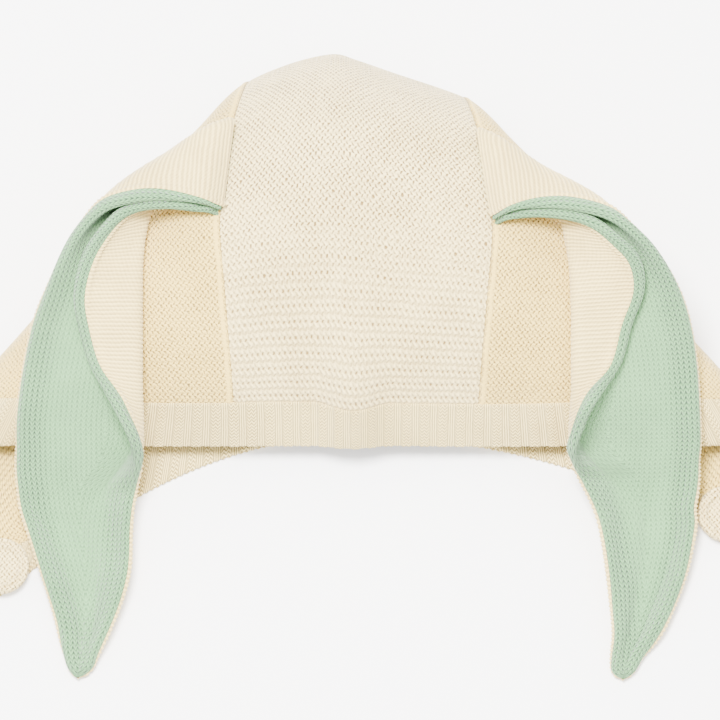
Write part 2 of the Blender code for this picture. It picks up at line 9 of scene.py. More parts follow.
import bmesh
import bpy
import numpy as np
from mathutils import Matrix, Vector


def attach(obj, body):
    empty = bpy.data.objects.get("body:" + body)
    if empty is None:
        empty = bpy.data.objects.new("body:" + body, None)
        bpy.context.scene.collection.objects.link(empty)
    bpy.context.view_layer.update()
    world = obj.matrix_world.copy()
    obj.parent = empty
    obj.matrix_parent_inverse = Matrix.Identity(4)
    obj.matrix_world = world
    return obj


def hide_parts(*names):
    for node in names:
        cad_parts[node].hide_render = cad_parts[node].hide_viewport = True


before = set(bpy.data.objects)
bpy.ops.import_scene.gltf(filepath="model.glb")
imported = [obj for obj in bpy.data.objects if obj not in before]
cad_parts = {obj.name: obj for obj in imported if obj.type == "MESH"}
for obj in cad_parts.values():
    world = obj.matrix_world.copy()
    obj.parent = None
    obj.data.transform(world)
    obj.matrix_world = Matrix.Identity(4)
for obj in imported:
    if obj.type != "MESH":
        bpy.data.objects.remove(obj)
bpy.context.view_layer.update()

# Body, in metres
SEAM_SPAN = 0.095
SIDE_REACH = 0.1095
CROWN_DEPTH = 0.1434
PUFF_HEIGHT = 0.0515
CAMBER = 0.003
FOLD_RADIUS = 0.006
CLOTH = 0.0020
REST_POINT = 0.060  # from the nape hem to the origin
CREASE_ACROSS = -0.0015
CREASE_HALF_WIDTH = 0.014
CREASE_HEIGHT = 0.0055
SWELL_HEIGHT = 0.0005
BAND_WIDTH = 0.0193
RIB_DEPTH = 0.0005
FACE_ARCH = 0.007
FLAP_DROP = {-1: 0.042, 1: 0.023}
FLAP_END = 0.010
TAB_RADIUS = 0.010
TAB_LENGTH = 0.008
TAB_THICKNESS = 0.0018
TAB_RIM = 0.0008
TAB_GAP = 0.0009
TAB_INSET = 0.001

# Forms of the body
SIDE_FOLD = 2  # place across
BAND_MEETING = 1.90  # place across where the two bands meet
FLAP_CORNER = {-1: 0.748, 1: 0.783}  # share of the hem's half width
FACE_FLAT = 0.90  # share of the depth over which the face side is flat
FOLD_RISE = 4  # power with which a side fold rises towards the crown
SIDE_PUFF = 0.75  # power of a side panel's rounding
FLAP_ROUND = 6  # power of a flap's round end
CAMBER_RISE = 1.2  # how fast the camber grows from the hem
CAMBER_FADE = 4  # how fast it fades at the crown
SWELL_TURNS = (92, 78, 51, 64)  # radians a metre
SWELL_SHIFTS = (1.1, 0.4, 2.0)  # radians
SWELL_END = 0.8  # share of the depth and of the reach past which the swells fade
HOLLOW = (0.4, 0.45)  # shares of the depth and the height that lie inside the hat
TAB_PARTING = 3  # how fast a tab's two round ends part from its middle

# Ears, in metres
EAR_OUT = 0.0717
EAR_DROP = 0.1673
EAR_FOLD = 0.0043
EAR_BULGE = 0.004
EAR_SEAT = 0.0023
EAR_HALF = 0.00155  # from the middle of an ear to its skins
RIM_RADIUS = 0.0020
RIM_FADE = 0.006  # over which the rolled rim sinks to the ear's own thickness
RIM_GROWTH = 0.030  # over which the rim grows from the root
ROOT_TURN = 0.008  # over which an ear turns down into the seam
ROOT_SINK = 0.0045
ROOT_COVER = 0.0006  # how far the back reaches past the lining at the seam
TROUGH = 0.0022  # how far the rims rise where an ear lies open
TROUGH_END = 0.02  # from the tip, over which the trough fades
TIP_BLEND = (0.006, 0.022)  # from the tip, over which the lining's reach round the rim changes
WRAP = 0.0022  # how far the lining reaches onto the back past a rolled rim

# Forms of the ears
EAR_ROOT = 0.6  # place along where the rims meet the seam
EAR_OPEN = np.radians(160)
EAR_STAND = 0.25  # share of the outer half's width that stands up where the fold opens
EAR_FALL = 0.42  # slope at which an ear leaves the nape hem for the table
FOLD_MOST = 0.35  # share of the outer half's width that the fold's radius can take
RIM_MOST = 0.45  # share of an ear's width that a rim's radius can take
RIM_AT_ROOT = 0.3  # share of the rim's radius
SEAM_TURN = np.radians(75)  # how far round an open rim the lining reaches
TIP_TURN = np.radians(115)
OUTER_WRAP = (4.0, 8.0)  # rows of the table over which the outer rim opens
INNER_WRAP = (-0.35, 0.05)  # shares of the inner half over which the inner rim opens
HALVES_OPEN = (7.0, 11.0)  # rows of the table over which the halves open
TROUGH_WAVE = (0.35, 5, 60)  # share of its height, radians across and radians a metre
SIGHT = np.radians(75)
SLIDE = np.cos(SIGHT) / np.sin(SIGHT)

# Stitches, in metres
CROWN_STITCH = (0.00205, 0.00265)
SIDE_STITCH = (0.00190, 0.00235)
RIB_STITCH = (0.00635, 0.0015)
EAR_RIDGE = (0.00150, 0.00155)
LINING_STITCH = (0.00180, 0.00175)
TAB_STITCH = (0.00180, 0.0022)
CROWN_RELIEF = 0.00030
SIDE_RELIEF = 0.00028
RIB_RELIEF = 0.00035
RIDGE_RELIEF = 0.00016
LINING_RELIEF = 0.00018
RIDGE_ZONE = (0.035, 0.085)  # from the hem, over which the crown's ridges turn into holes
RIDGE_SHADES = (0.030, 0.095)  # the same in the material, for the ridges' bumps and their painted shade
EDGE_BEAD = 0.0011
BEAD_RELIEF = 0.0009
RIM_SEAM = 0.0008  # from a rim, over which relief starts
RIDGE_START = (0.001, 0.003)  # from a rim, over which the back's ridges start
GROOVE_END = (0.004, 0.010)  # from a rim, over which the lining's grooves fade
BAND_LINE = 0.0009
LINE_RELIEF = 0.0004

# Forms of the stitches
RIDGE_SHARE = 0.30  # of the relief of the crown's holes
CROWN_SEAM = (0.05, 0.8)  # width in places across, and depth as a share of the relief
SIDE_SEAM = (0.012, 1.3)
SELVEDGE = (0.75, 0.35)  # place and width, in stitches from the seam
SELVEDGE_STITCH = 0.2  # how deep the dips between stitches are, as a share
LINE_STITCH = 0.4
BEAD_STITCH = 0.35
BEAD_NARROWING = 1.4
SCALLOPS = 3  # on each rib
SCALLOP_DEPTH = 0.25
LOOSE_NOISE = ((140, 0.55), (520, 0.45))  # scale and share of wide and narrow unevenness
HOLE_LEAN = 0.10
HOLE_DEPTH = 0.9
HOLE_NOISE = 330
LOOP_BOW = 0.22
LOOP_SHARE = 0.28
RIDGE_BOW = 0.09
RIDGE_PARTS = (0.30, 0.25, 0.45)  # shares of the ridges, their bumps and the holes
LEG_SLANT = 0.8
V_PARTS = (0.50, 0.70, 0.20)  # depths of a V's gap, the groove and the column's middle
BACK_PARTS = (0.78, 0.22)  # shares of the ridges and their stitches
RIB_LINES = (4, 8)  # zigzags and upright lines on each rib
BONE_SLANT = 0.8
PLAIN_COLUMN = (0.8, 0.9)  # place in stitches from the seam, and height
PATCH = (60, 0.10)  # scale and tone of faint patches
FIBRE = (1800, 0.25, 0.30)  # scale, tone and height of the fibres
BUMP = 0.9
YARN_SURFACE = {"Roughness": 0.9, "Specular IOR Level": 0.2, "Sheen Weight": 0.25, "Sheen Roughness": 0.5}

# The body's tables are those of the solids. The ears' tables differ from theirs in the root rows,
# whose inner rims reach further, and at the tips, which are blunter. Each height, depth and reach
# is a share of a size above.
NAPE_PROFILE = (
    ("along", "height"),
    (0.000, 0.225), (0.036, 0.375), (0.082, 0.527), (0.149, 0.690), (0.249, 0.835),
    (0.370, 0.945), (0.498, 0.997), (0.612, 1.000), (0.726, 0.950), (0.826, 0.835),
    (0.904, 0.665), (0.957, 0.475), (0.991, 0.285), (1.000, 0.205),
)
CROWN_LINE = (
    ("across", "depth"),
    (-1.0, 0.930), (-0.8, 0.956), (-0.5, 0.985), (-0.2, 1.000),
    (0.0, 0.985), (0.4, 0.947), (0.75, 0.915), (1.0, 0.890),
)
SEAM_LINE = (
    ("along", "half_span"),
    (0.00, 0.895), (0.10, 0.905), (0.35, 0.965), (0.50, 1.000),
    (0.60, 0.985), (0.80, 0.915), (0.93, 0.840), (1.00, 0.800),
)
SIDE_LINE = (
    ("along", "reach"),
    (0.00, 1.000), (0.12, 0.884), (0.24, 0.750), (0.33, 0.646), (0.48, 0.480),
    (0.63, 0.345), (0.75, 0.233), (0.85, 0.138), (0.93, 0.075), (1.00, 0.000),
)
CREASE_LINE = (
    ("along", "height"),
    (0.00, 0.60), (0.08, 1.00), (0.18, 0.70), (0.35, 0.30),
    (0.60, 0.20), (0.90, 0.10), (1.00, 0.0),
)
FLAP_LINE = (
    ("outward", "drop"),
    (0.00, 0.00), (0.16, 0.60), (0.32, 0.95), (0.50, 1.00),
    (0.74, 0.40), (0.92, -1.20), (1.00, -4.2),
)
EAR_COLUMNS = (
    "rim_out", "rim_down", "rim_high", "fold_out", "fold_down", "fold_high", "roll", "inner",
)
EAR_LEFT = (
    (0.005, 0.026, 1.09, -0.050, -0.166, 0.94, 0, 1.02),
    (0.158, 0.017, 1.12, 0.103, -0.126, 0.92, 38, 1.04),
    (0.305, 0.013, 1.17, 0.192, -0.096, 0.90, 60, 1.00),
    (0.453, 0.019, 1.20, 0.276, -0.059, 0.88, 76, 0.92),
    (0.586, 0.036, 1.20, 0.345, -0.006, 0.87, 92, 0.85),
    (0.700, 0.077, 1.14, 0.389, 0.066, 0.86, 115, 0.82),
    (0.788, 0.130, 1.00, 0.404, 0.138, 0.85, 138, 0.77),
    (0.867, 0.205, 0.80, 0.404, 0.210, 0.81, 160, 0.68),
    (0.926, 0.272, 0.60, 0.404, 0.274, 0.75, 174, 0.54),
    (0.975, 0.373, 0.42, 0.404, 0.373, 0.65, 180, 0.36),
    (1.005, 0.470, 0.32, 0.404, 0.463, 0.47, 180, 0.16),
    (1.007, 0.534, 0.26, 0.420, 0.534, 0.34, 180, 0.02),
    (1.010, 0.577, 0.21, 0.484, 0.577, 0.24, 180, -0.13),
    (1.002, 0.619, 0.17, 0.583, 0.619, 0.15, 180, -0.39),
    (0.989, 0.661, 0.13, 0.667, 0.661, 0.10, 180, -0.73),
    (0.961, 0.700, 0.10, 0.700, 0.703, 0.07, 180, -1),
    (0.887, 0.795, 0.08, 0.670, 0.800, 0.06, 180, -1),
    (0.808, 0.897, 0.06, 0.670, 0.901, 0.05, 180, -1),
    (0.777, 0.962, 0.05, 0.692, 0.964, 0.05, 180, -1),
    (0.762, 0.986, 0.05, 0.693, 0.987, 0.05, 180, -1),
    (0.743, 1.002, 0.05, 0.698, 1.002, 0.05, 180, -1),
    (0.718, 1.010, 0.05, 0.706, 1.010, 0.05, 180, -1),
)
EAR_RIGHT = (
    (0.015, 0.026, 1.09, -0.060, -0.166, 0.94, 0, 1.02),
    (0.143, 0.011, 1.12, 0.080, -0.121, 0.92, 36, 1.04),
    (0.291, 0.008, 1.17, 0.192, -0.084, 0.90, 58, 1.00),
    (0.453, 0.015, 1.20, 0.290, -0.046, 0.88, 74, 0.92),
    (0.601, 0.032, 1.20, 0.355, -0.002, 0.87, 92, 0.85),
    (0.729, 0.066, 1.14, 0.386, 0.066, 0.86, 115, 0.84),
    (0.833, 0.109, 1.00, 0.404, 0.126, 0.85, 138, 0.80),
    (0.921, 0.172, 0.80, 0.411, 0.193, 0.81, 160, 0.66),
    (0.980, 0.247, 0.60, 0.414, 0.260, 0.75, 174, 0.46),
    (1.015, 0.342, 0.42, 0.414, 0.355, 0.65, 180, 0.31),
    (1.030, 0.447, 0.32, 0.414, 0.443, 0.47, 180, 0.09),
    (1.034, 0.500, 0.26, 0.420, 0.495, 0.34, 180, 0.02),
    (1.026, 0.536, 0.22, 0.475, 0.536, 0.26, 180, -0.13),
    (1.026, 0.568, 0.19, 0.573, 0.568, 0.17, 180, -0.32),
    (1.019, 0.604, 0.15, 0.672, 0.604, 0.12, 180, -0.60),
    (1.005, 0.642, 0.12, 0.736, 0.642, 0.09, 180, -0.87),
    (1.010, 0.679, 0.10, 0.773, 0.684, 0.07, 180, -1),
    (0.960, 0.781, 0.08, 0.768, 0.785, 0.06, 180, -1),
    (0.857, 0.884, 0.06, 0.729, 0.888, 0.05, 180, -1),
    (0.750, 0.948, 0.05, 0.672, 0.951, 0.05, 180, -1),
    (0.722, 0.972, 0.05, 0.657, 0.974, 0.05, 180, -1),
    (0.698, 0.985, 0.05, 0.652, 0.986, 0.05, 180, -1),
    (0.664, 0.992, 0.05, 0.652, 0.992, 0.05, 180, -1),
)
EAR_TABLES = {-1: EAR_LEFT, 1: EAR_RIGHT}
SIDE_NAMES = {-1: "left", 1: "right"}

TAB_PROFILE = (
    ("spread", "height"),
    (0.02, 0.45), (0.30, 0.45), (0.58, 0.47), (0.66, 0.76), (0.73, 0.98), (0.78, 0.84), (0.82, 0.70),
    (0.86, 0.86), (0.93, 1.00), (0.98, 0.80), (1.00, 0.45), (0.98, 0.10), (0.90, 0.0), (0.02, 0.0),
)

# Where the solids' ears are measured, so that the sheets lie as high
SOLID_EAR_ROWS = 27
SOLID_OUTER = (1.0, 0.88, 0.6, 0.3)
SOLID_TURNS = 5
SOLID_INNER = (0.35, 0.75, 1.0)
LIFT_PASSES = 6
BALL_RINGS = (0.55, 0.9)
BALL_TURNS = 12

# Counts
PROFILE_STEPS = 12
STATION_STEPS = 40
INSET_STEPS = 240
EVEN_STEPS = 600
LENGTH_STEPS = 8
PER_STITCH = 4  # mesh points along a stitch of the body
SIDE_COLUMNS = 210
SIDE_THINNING = 5
FACE_ROWS = 90
PER_RIB = 24
BAND_ROWS = 28
BAND_THINNING = 3
HEM_STEPS = 9
EAR_ROWS = 380
EAR_COLUMN_COUNT = 72
OUTER_POINTS = 24
FOLD_POINTS = 13
INNER_POINTS = 16
MEASURED_POINT = 17  # of the outer half, where an ear's length is walked
SKIN_COLUMNS = 110
LIFT_BLURS = 60
MIDDLE_BLURS = (12, 2)
TAB_STEPS = 6
TAB_TURNS = 180

# Places where lengths are measured, and limits
HALF_WAY = 0.5  # most of the depth that a length from the hem takes
CROWN_MEASURE = 0.5
SIDE_MEASURE = 1.2
BAND_MEASURE = 0.06
SLOPE_STEP = 0.01
LEAST_RADIUS = 1e-6
NEVER_ZERO = 1e-12
WELD = 0.000001

# Camera: from the nape hem's middle to the photo's middle are HEM_TO_MIDDLE pixels
PIXEL = 0.000353
PHOTO_PIXELS = 720
HEM_TO_MIDDLE = (4, 85)
HEM_HEIGHT_SHIFT = 0.003
FRAME_WIDTH = PHOTO_PIXELS * PIXEL
CAMERA_AIM = (
    HEM_TO_MIDDLE[0] * PIXEL,
    HEM_TO_MIDDLE[1] * PIXEL / np.sin(SIGHT) + HEM_HEIGHT_SHIFT - REST_POINT,
    0.0,
)
LENS = 600
SENSOR = 36
CLIP = (0.1, 100)

# Light and floor
OVERHEAD = {"place": (-0.22, 0.10, 1.75), "aim": (0, 0, 0), "size": 0.6, "power": 165,
            "colour": (1.0, 0.985, 0.96)}
WORLD_STRENGTH = 4.4
WORLD_LOW = (0.42, 0.42, 0.42)
WORLD_HIGH = (0.985, 0.99, 1.0)
WORLD_BLEND = (0.1, 0.9)
FLOOR_HALF = 30
FLOOR_SHADE = 0.985  # of the floor's colour, in its faint patches
FLOOR_ROUGHNESS = 0.9

# Shares of the full unevenness, across and along the columns
KNIT_LOOSE = (1.0, 0.8)
RIB_LOOSE = (0.08, 0.5)
EAR_LOOSE = (0.45, 0.6)

# Colours, linear
CREAM = (0.85, 0.68, 0.31)
# Painted shade for the holes and grooves of the crown and the ear backs
CREAM_HOLE_PAINTED_SHADE = (0.20, 0.125, 0.038)
# Side panels: the cream darkened and yellowed, painted shade from the ears over them
SIDE_CREAM_WITH_PAINTED_SHADE = (0.77, 0.55, 0.145)
# Painted shade for the holes and grooves of the side panels, tabs and bands
WARM_HOLE_PAINTED_SHADE = (0.21, 0.13, 0.022)
# Ear backs: the cream darkened and warmed, painted shade of the ears' folds
EAR_CREAM_WITH_PAINTED_SHADE = (0.80, 0.62, 0.24)
# Bands: the cream made brighter and yellower; the extra brightness is painted light for bands that face
# away from the lamp
BAND_CREAM_WITH_PAINTED_LIGHT = (0.88, 0.69, 0.27)
MINT = (0.165, 0.335, 0.145)
# Painted shade for the lining's stitch gaps and grooves
MINT_HOLE_PAINTED_SHADE = (0.02, 0.07, 0.025)
FLOOR = (0.95, 0.95, 0.955)


def dense(rows, steps=PROFILE_STEPS):
    """Closely spaced points of the smooth curve through some points."""
    rows = np.array(rows, float)
    ends = np.concatenate([[2 * rows[0] - rows[1]], rows, [2 * rows[-1] - rows[-2]]])
    t = np.arange(steps).reshape((-1,) + (1,) * (rows.ndim - 1)) / steps
    spans = []
    for i in range(len(rows) - 1):
        p0, p1, p2, p3 = ends[i:i + 4]
        spans.append(0.5 * (2 * p1 + (p2 - p0) * t + (2 * p0 - 5 * p1 + 4 * p2 - p3) * t ** 2
                            + (3 * p1 - 3 * p2 + p3 - p0) * t ** 3))
    return np.concatenate(spans + [rows[-1:]])


def reader(table):
    """Function that reads the second column at a value of the first."""
    points = dense(table[1:])
    return lambda key: np.interp(key, points[:, 0], points[:, 1])


nape_height = reader(NAPE_PROFILE)
crown_depth = reader(CROWN_LINE)
half_span = reader(SEAM_LINE)
side_share = reader(SIDE_LINE)
crease_share = reader(CREASE_LINE)
flap_share = reader(FLAP_LINE)
CROWN_FOLD_HEIGHT = float(nape_height(1.0)) * PUFF_HEIGHT


def smoothstep(low, high, value):
    """0 at low, 1 at high, with soft ends."""
    t = np.clip((value - low) / (high - low), 0, 1)
    return t * t * (3 - 2 * t)


def seam_x(along):
    """Distance of a seam from the middle."""
    return half_span(along) * SEAM_SPAN / 2


def depth_at(across):
    """Depth from the hem to the crown's edge."""
    return crown_depth(np.clip(across, -1, 1)) * CROWN_DEPTH


def round_edge(distance, radius):
    """0 at the fold, rising along a quarter circle to 1 at its radius."""
    return np.sqrt(np.clip(1 - np.clip(1 - distance / radius, 0, 1) ** 2, 0, 1))


def face_height(along):
    """Height of the face side's middle, which turns up at the crown."""
    turn = np.clip((along - FACE_FLAT) / (1 - FACE_FLAT), 0, 1)
    return CROWN_FOLD_HEIGHT * (1 - np.sqrt(1 - turn * turn))


def side_section(along, share, nape):
    """Distance from the middle and height on a side panel; share is 0 at the seam, 1 at the fold."""
    reach = side_share(along) * SIDE_REACH
    fold = FOLD_RADIUS + (CROWN_FOLD_HEIGHT - FOLD_RADIUS) * along ** FOLD_RISE
    rounding = round_edge((1 - share) * reach, np.maximum(np.minimum(fold, reach), LEAST_RADIUS))
    if nape:
        top = nape_height(along) * PUFF_HEIGHT
        edge = np.minimum(fold, np.maximum(top - fold, 0))
        puff = (top - fold - edge) * np.clip(1 - share * share, 0, 1) ** SIDE_PUFF
        height = fold + edge * rounding + puff
    else:
        flat = face_height(along)
        height = flat + (fold - flat) * (1 - rounding)
    return seam_x(along) + reach * share, height


def face_edge(x):
    """Y of the face opening's edge."""
    x = np.asarray(x, float)
    side = np.where(x < 0, -1, 1)
    drop = np.where(side < 0, FLAP_DROP[-1], FLAP_DROP[1])
    fold = seam_x(0) + SIDE_REACH
    corner = np.where(side < 0, FLAP_CORNER[-1], FLAP_CORNER[1]) * fold
    distance = np.abs(x)
    arch = FACE_ARCH - (FACE_ARCH + drop) * (distance / corner) ** 2
    outward = np.clip((distance - corner) / (fold - corner), 0, 1)
    end = (-drop - FLAP_END * flap_share(outward)) * np.sqrt(np.clip(1 - outward ** FLAP_ROUND, 0, 1))
    return np.where(distance <= corner, arch, end)


def swells(x, y):
    """Low uneven swells of the cloth, between -2 and 2."""
    first, second, third = SWELL_SHIFTS
    crossed = np.sin(x * SWELL_TURNS[0] + first) * np.sin(y * SWELL_TURNS[1] + second)
    return crossed + np.sin(x * SWELL_TURNS[2] - y * SWELL_TURNS[3] + third)


def body_point(across, along, nape):
    """Point of the nape side or the face side, for arrays of places."""
    across, along = np.broadcast_arrays(np.asarray(across, float), np.asarray(along, float))
    side = np.where(across < 0, -1, 1)
    share = np.sin(np.clip(np.abs(across) - 1, 0, 1) * np.pi / 2)
    depth = depth_at(across)
    inside = np.abs(across) <= 1
    side_x, side_z = side_section(along, share, nape)
    x = np.where(inside, across * seam_x(along), side * side_x)
    if not nape:
        past_seam = side * (seam_x(0) + SIDE_REACH * share)
        edge = np.where(inside, face_edge(across * seam_x(0)), face_edge(past_seam))
        z = np.where(inside, face_height(along), side_z)
        return np.stack([x, edge + (depth - edge) * along, z], -1)
    camber = CAMBER * (1 - across ** 2) * np.sin(np.pi * np.minimum(along * CAMBER_RISE, 1) * 0.5)
    z = nape_height(along) * PUFF_HEIGHT + camber * np.minimum(1, (1 - along) * CAMBER_FADE)
    rise = nape_height(along + SLOPE_STEP) - nape_height(along - SLOPE_STEP)
    slope = rise * PUFF_HEIGHT / (2 * SLOPE_STEP * depth)
    nearness = np.clip(1 - ((x - CREASE_ACROSS) / CREASE_HALF_WIDTH) ** 2, 0, 1)
    lift = CREASE_HEIGHT * crease_share(along) * nearness ** 2
    lean = np.hypot(1, slope)
    y = depth * along - np.where(inside, lift * slope / lean, 0)
    fade = smoothstep(1.0, SWELL_END, along)
    soft = SWELL_HEIGHT * swells(x, y) * fade * smoothstep(1.0, SWELL_END, share)
    return np.stack([x, y, np.where(inside, z + lift / lean, side_z) + soft], -1)


def walked(points, axis=0):
    """Length walked along an axis of a grid of points."""
    steps = np.linalg.norm(np.diff(points, axis=axis), axis=-1)
    first = np.zeros_like(np.take(steps, [0], axis=axis))
    return np.concatenate([first, np.cumsum(steps, axis=axis)], axis=axis)


def inset(across, nape, length):
    """How far along the body a length from the opening's edge reaches, for each place across."""
    along = np.linspace(0, HALF_WAY, INSET_STEPS)
    grid = body_point(np.asarray(across)[None, :], along[:, None], nape)
    lengths = walked(grid)
    return np.array([np.interp(length, lengths[:, i], along) for i in range(len(across))])


def even(place, start, stop, count):
    """Values from start to stop whose places lie evenly spaced, and the whole length."""
    values = np.linspace(start, stop, EVEN_STEPS)
    lengths = walked(place(values))
    return np.interp(np.linspace(0, lengths[-1], count + 1), lengths, values), lengths[-1]


def grid_normals(points, sign=1):
    """Unit normals of a grid of points."""
    across = np.gradient(points, axis=1)
    along = np.gradient(points, axis=0)
    normals = np.cross(across, along) * sign
    return normals / np.maximum(np.linalg.norm(normals, axis=-1, keepdims=True), NEVER_ZERO)


def beads(phase, dip):
    """1 on a stitch, lower by twice the dip between two."""
    return 1 - dip + dip * np.cos(2 * np.pi * phase)


def add_piece(name, node, grids, material):
    """Object made of grids of points, each with its stitch coordinates, in place of a CAD node."""
    points, faces, stitches = [], [], []
    base = 0
    for grid, uv in grids:
        rows, columns = grid.shape[:2]
        index = np.arange(rows * columns).reshape(rows, columns) + base
        quads = np.stack([index[:-1, :-1], index[:-1, 1:], index[1:, 1:], index[1:, :-1]], -1)
        faces.append(quads.reshape(-1, 4))
        points.append(grid.reshape(-1, 3))
        stitches.append(uv.reshape(-1, 2))
        base += rows * columns
    points = np.concatenate(points) - np.array([0, REST_POINT, 0])
    faces, stitches = np.concatenate(faces), np.concatenate(stitches)
    mesh = bpy.data.meshes.new(name)
    mesh.vertices.add(len(points))
    mesh.vertices.foreach_set("co", points.ravel())
    mesh.loops.add(faces.size)
    mesh.loops.foreach_set("vertex_index", faces.ravel())
    mesh.polygons.add(len(faces))
    mesh.polygons.foreach_set("loop_start", np.arange(len(faces)) * 4)
    mesh.update(calc_edges=True)
    layer = mesh.uv_layers.new(name="stitches")
    layer.data.foreach_set("uv", stitches[faces.ravel()].ravel())
    mesh.shade_smooth()
    mesh.materials.append(material)
    mesh.validate()
    body = bmesh.new()
    body.from_mesh(mesh)
    bmesh.ops.remove_doubles(body, verts=body.verts[:], dist=WELD)
    body.to_mesh(mesh)
    body.free()
    obj = bpy.data.objects.new(name, mesh)
    bpy.context.scene.collection.objects.link(obj)
    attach(obj, "root")
    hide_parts(node)
    return obj


class Graph:
    """A material's nodes, written as sums and products of sockets."""

    def __init__(self, name):
        self.material = bpy.data.materials.new(name)
        self.material.use_nodes = True
        self.tree = self.material.node_tree
        self.shader = self.tree.nodes["Principled BSDF"]
        self.place = self.tree.nodes.new("ShaderNodeUVMap")
        self.place.uv_map = "stitches"
        self.split = self.tree.nodes.new("ShaderNodeSeparateXYZ")
        self.link(self.place.outputs["UV"], self.split.inputs[0])
        self.u, self.v = self.split.outputs["X"], self.split.outputs["Y"]

    def link(self, source, target):
        """Joins an output to an input."""
        self.tree.links.new(source, target)

    def math(self, operation, *values):
        """Result of a sum, product or other operation on numbers or sockets."""
        node = self.tree.nodes.new("ShaderNodeMath")
        node.operation = operation
        for socket, value in zip(node.inputs, values):
            if isinstance(value, (int, float)):
                socket.default_value = value
            else:
                self.link(value, socket)
        return node.outputs[0]

    def add(self, a, b):
        return self.math("ADD", a, b)

    def times(self, a, b):
        return self.math("MULTIPLY", a, b)

    def wave(self, value):
        """Cosine with a period of 1."""
        return self.math("COSINE", self.times(value, 2 * np.pi))

    def zigzag(self, value):
        """1 at whole numbers, 0 halfway between."""
        return self.math("ABSOLUTE", self.add(self.times(self.math("FRACT", value), 2), -1))

    def ramp(self, value, low, high, start=0.0, stop=1.0):
        """start at low, stop at high, with soft ends."""
        node = self.tree.nodes.new("ShaderNodeMapRange")
        node.interpolation_type = "SMOOTHSTEP"
        for socket, number in zip(node.inputs[1:5], (low, high, start, stop)):
            socket.default_value = number
        self.link(value, node.inputs[0])
        return node.outputs[0]

    def object_place(self):
        """Place in the object, in metres."""
        return self.tree.nodes.new("ShaderNodeTexCoord").outputs["Object"]

    def noise(self, scale, detail):
        """Noise over the object, in swells a metre."""
        node = self.tree.nodes.new("ShaderNodeTexNoise")
        node.inputs["Scale"].default_value = scale
        node.inputs["Detail"].default_value = detail
        self.link(self.object_place(), node.inputs["Vector"])
        return node.outputs["Fac"]

    def mix(self, factor, first, second):
        """Colour between the first and the second."""
        node = self.tree.nodes.new("ShaderNodeMix")
        node.data_type = "RGBA"
        self.link(factor, node.inputs["Factor"])
        for socket, value in ((node.inputs["A"], first), (node.inputs["B"], second)):
            if isinstance(value, tuple):
                socket.default_value = (*value, 1)
            else:
                self.link(value, socket)
        return node.outputs["Result"]


def uneven(g, across, along):
    """The stitch coordinates with hand-made unevenness."""
    (wide_scale, wide_share), (narrow_scale, narrow_share) = LOOSE_NOISE
    wide = g.times(g.add(g.noise(wide_scale, 1), -0.5), wide_share)
    narrow = g.times(g.add(g.noise(narrow_scale, 1), -0.5), narrow_share)
    shift = g.add(wide, narrow)
    g.u, g.v = g.add(g.u, g.times(shift, across)), g.add(g.v, g.times(shift, -along))


def lattice(g):
    """Staggered leaning holes between loops: 0 in a hole, 1 on the yarn."""
    narrow = g.wave(g.add(g.u, g.times(g.wave(g.add(g.v, 0.25)), HOLE_LEAN)))
    narrow = g.times(narrow, g.times(narrow, narrow))
    hole = g.ramp(g.times(narrow, g.wave(g.v)), low=0.0, high=0.30)
    bow = g.ramp(g.wave(g.add(g.times(g.v, 2), g.times(g.wave(g.u), LOOP_BOW))), low=-1.0, high=0.7)
    loops = g.add(g.times(bow, LOOP_SHARE), 1 - LOOP_SHARE)
    deep = g.ramp(g.noise(HOLE_NOISE, 1), low=0.25, high=0.75, start=0.65)
    return g.math("SUBTRACT", loops, g.times(g.times(hole, HOLE_DEPTH), deep))


def seamed_lattice(g):
    """Lattice with a low groove at u = 0, where the panel is sewn on, painted dark as shade, and a plain
    column by it.
    """
    place, height = PLAIN_COLUMN
    beside = g.ramp(g.math("ABSOLUTE", g.add(g.u, -place)), low=0.25, high=0.6)
    lifted = g.math("MAXIMUM", lattice(g), g.math("SUBTRACT", height, beside))
    # Painted shade: the seam's groove is low here, so the colour mix gives it a dark line as well as a
    # bump
    return g.times(lifted, g.ramp(g.u, low=0.02, high=0.32, start=0.35))


def garter(g):
    """Staggered holes that turn into bumpy ridges near the hem."""
    ridge = g.ramp(g.wave(g.add(g.v, g.times(g.wave(g.u), RIDGE_BOW))), low=1.1, high=-0.3)
    bumps = g.ramp(g.wave(g.add(g.u, g.times(g.v, 0.5))), low=-1.0, high=0.6)
    parts = g.tree.nodes.new("ShaderNodeSeparateXYZ")
    g.link(g.object_place(), parts.inputs[0])
    low, high = (place - REST_POINT for place in RIDGE_SHADES)
    inside = g.ramp(parts.outputs["Y"], low, high)
    holes = lattice(g)
    of_ridge, of_bumps, of_holes = RIDGE_PARTS
    ridges = g.add(g.times(ridge, of_ridge), g.add(g.times(bumps, of_bumps), g.times(holes, of_holes)))
    return g.add(g.times(holes, inside), g.times(ridges, g.math("SUBTRACT", 1.0, inside)))


def stockinette(g):
    """Columns of V stitches along v, clear near the rims and finer in the middle."""
    inward = g.math("SUBTRACT", 1.0, g.zigzag(g.u))
    slant = g.add(g.v, g.times(inward, LEG_SLANT))
    gap = g.math("SUBTRACT", 1.0, g.ramp(g.zigzag(slant), low=0.98, high=0.35))
    dips = g.ramp(g.wave(slant), low=-0.9, high=0.9, start=0.45)
    groove = g.times(g.ramp(inward, low=0.60, high=0.05), dips)
    middle = g.ramp(inward, low=0.75, high=1.0)
    of_gap, of_groove, of_middle = V_PARTS
    depth = g.add(g.add(g.times(gap, of_gap), g.times(groove, of_groove)), g.times(middle, of_middle))
    return g.math("SUBTRACT", 1.0, g.times(depth, g.ramp(g.u, low=3.5, high=7.5, start=0.9, stop=0.42)))


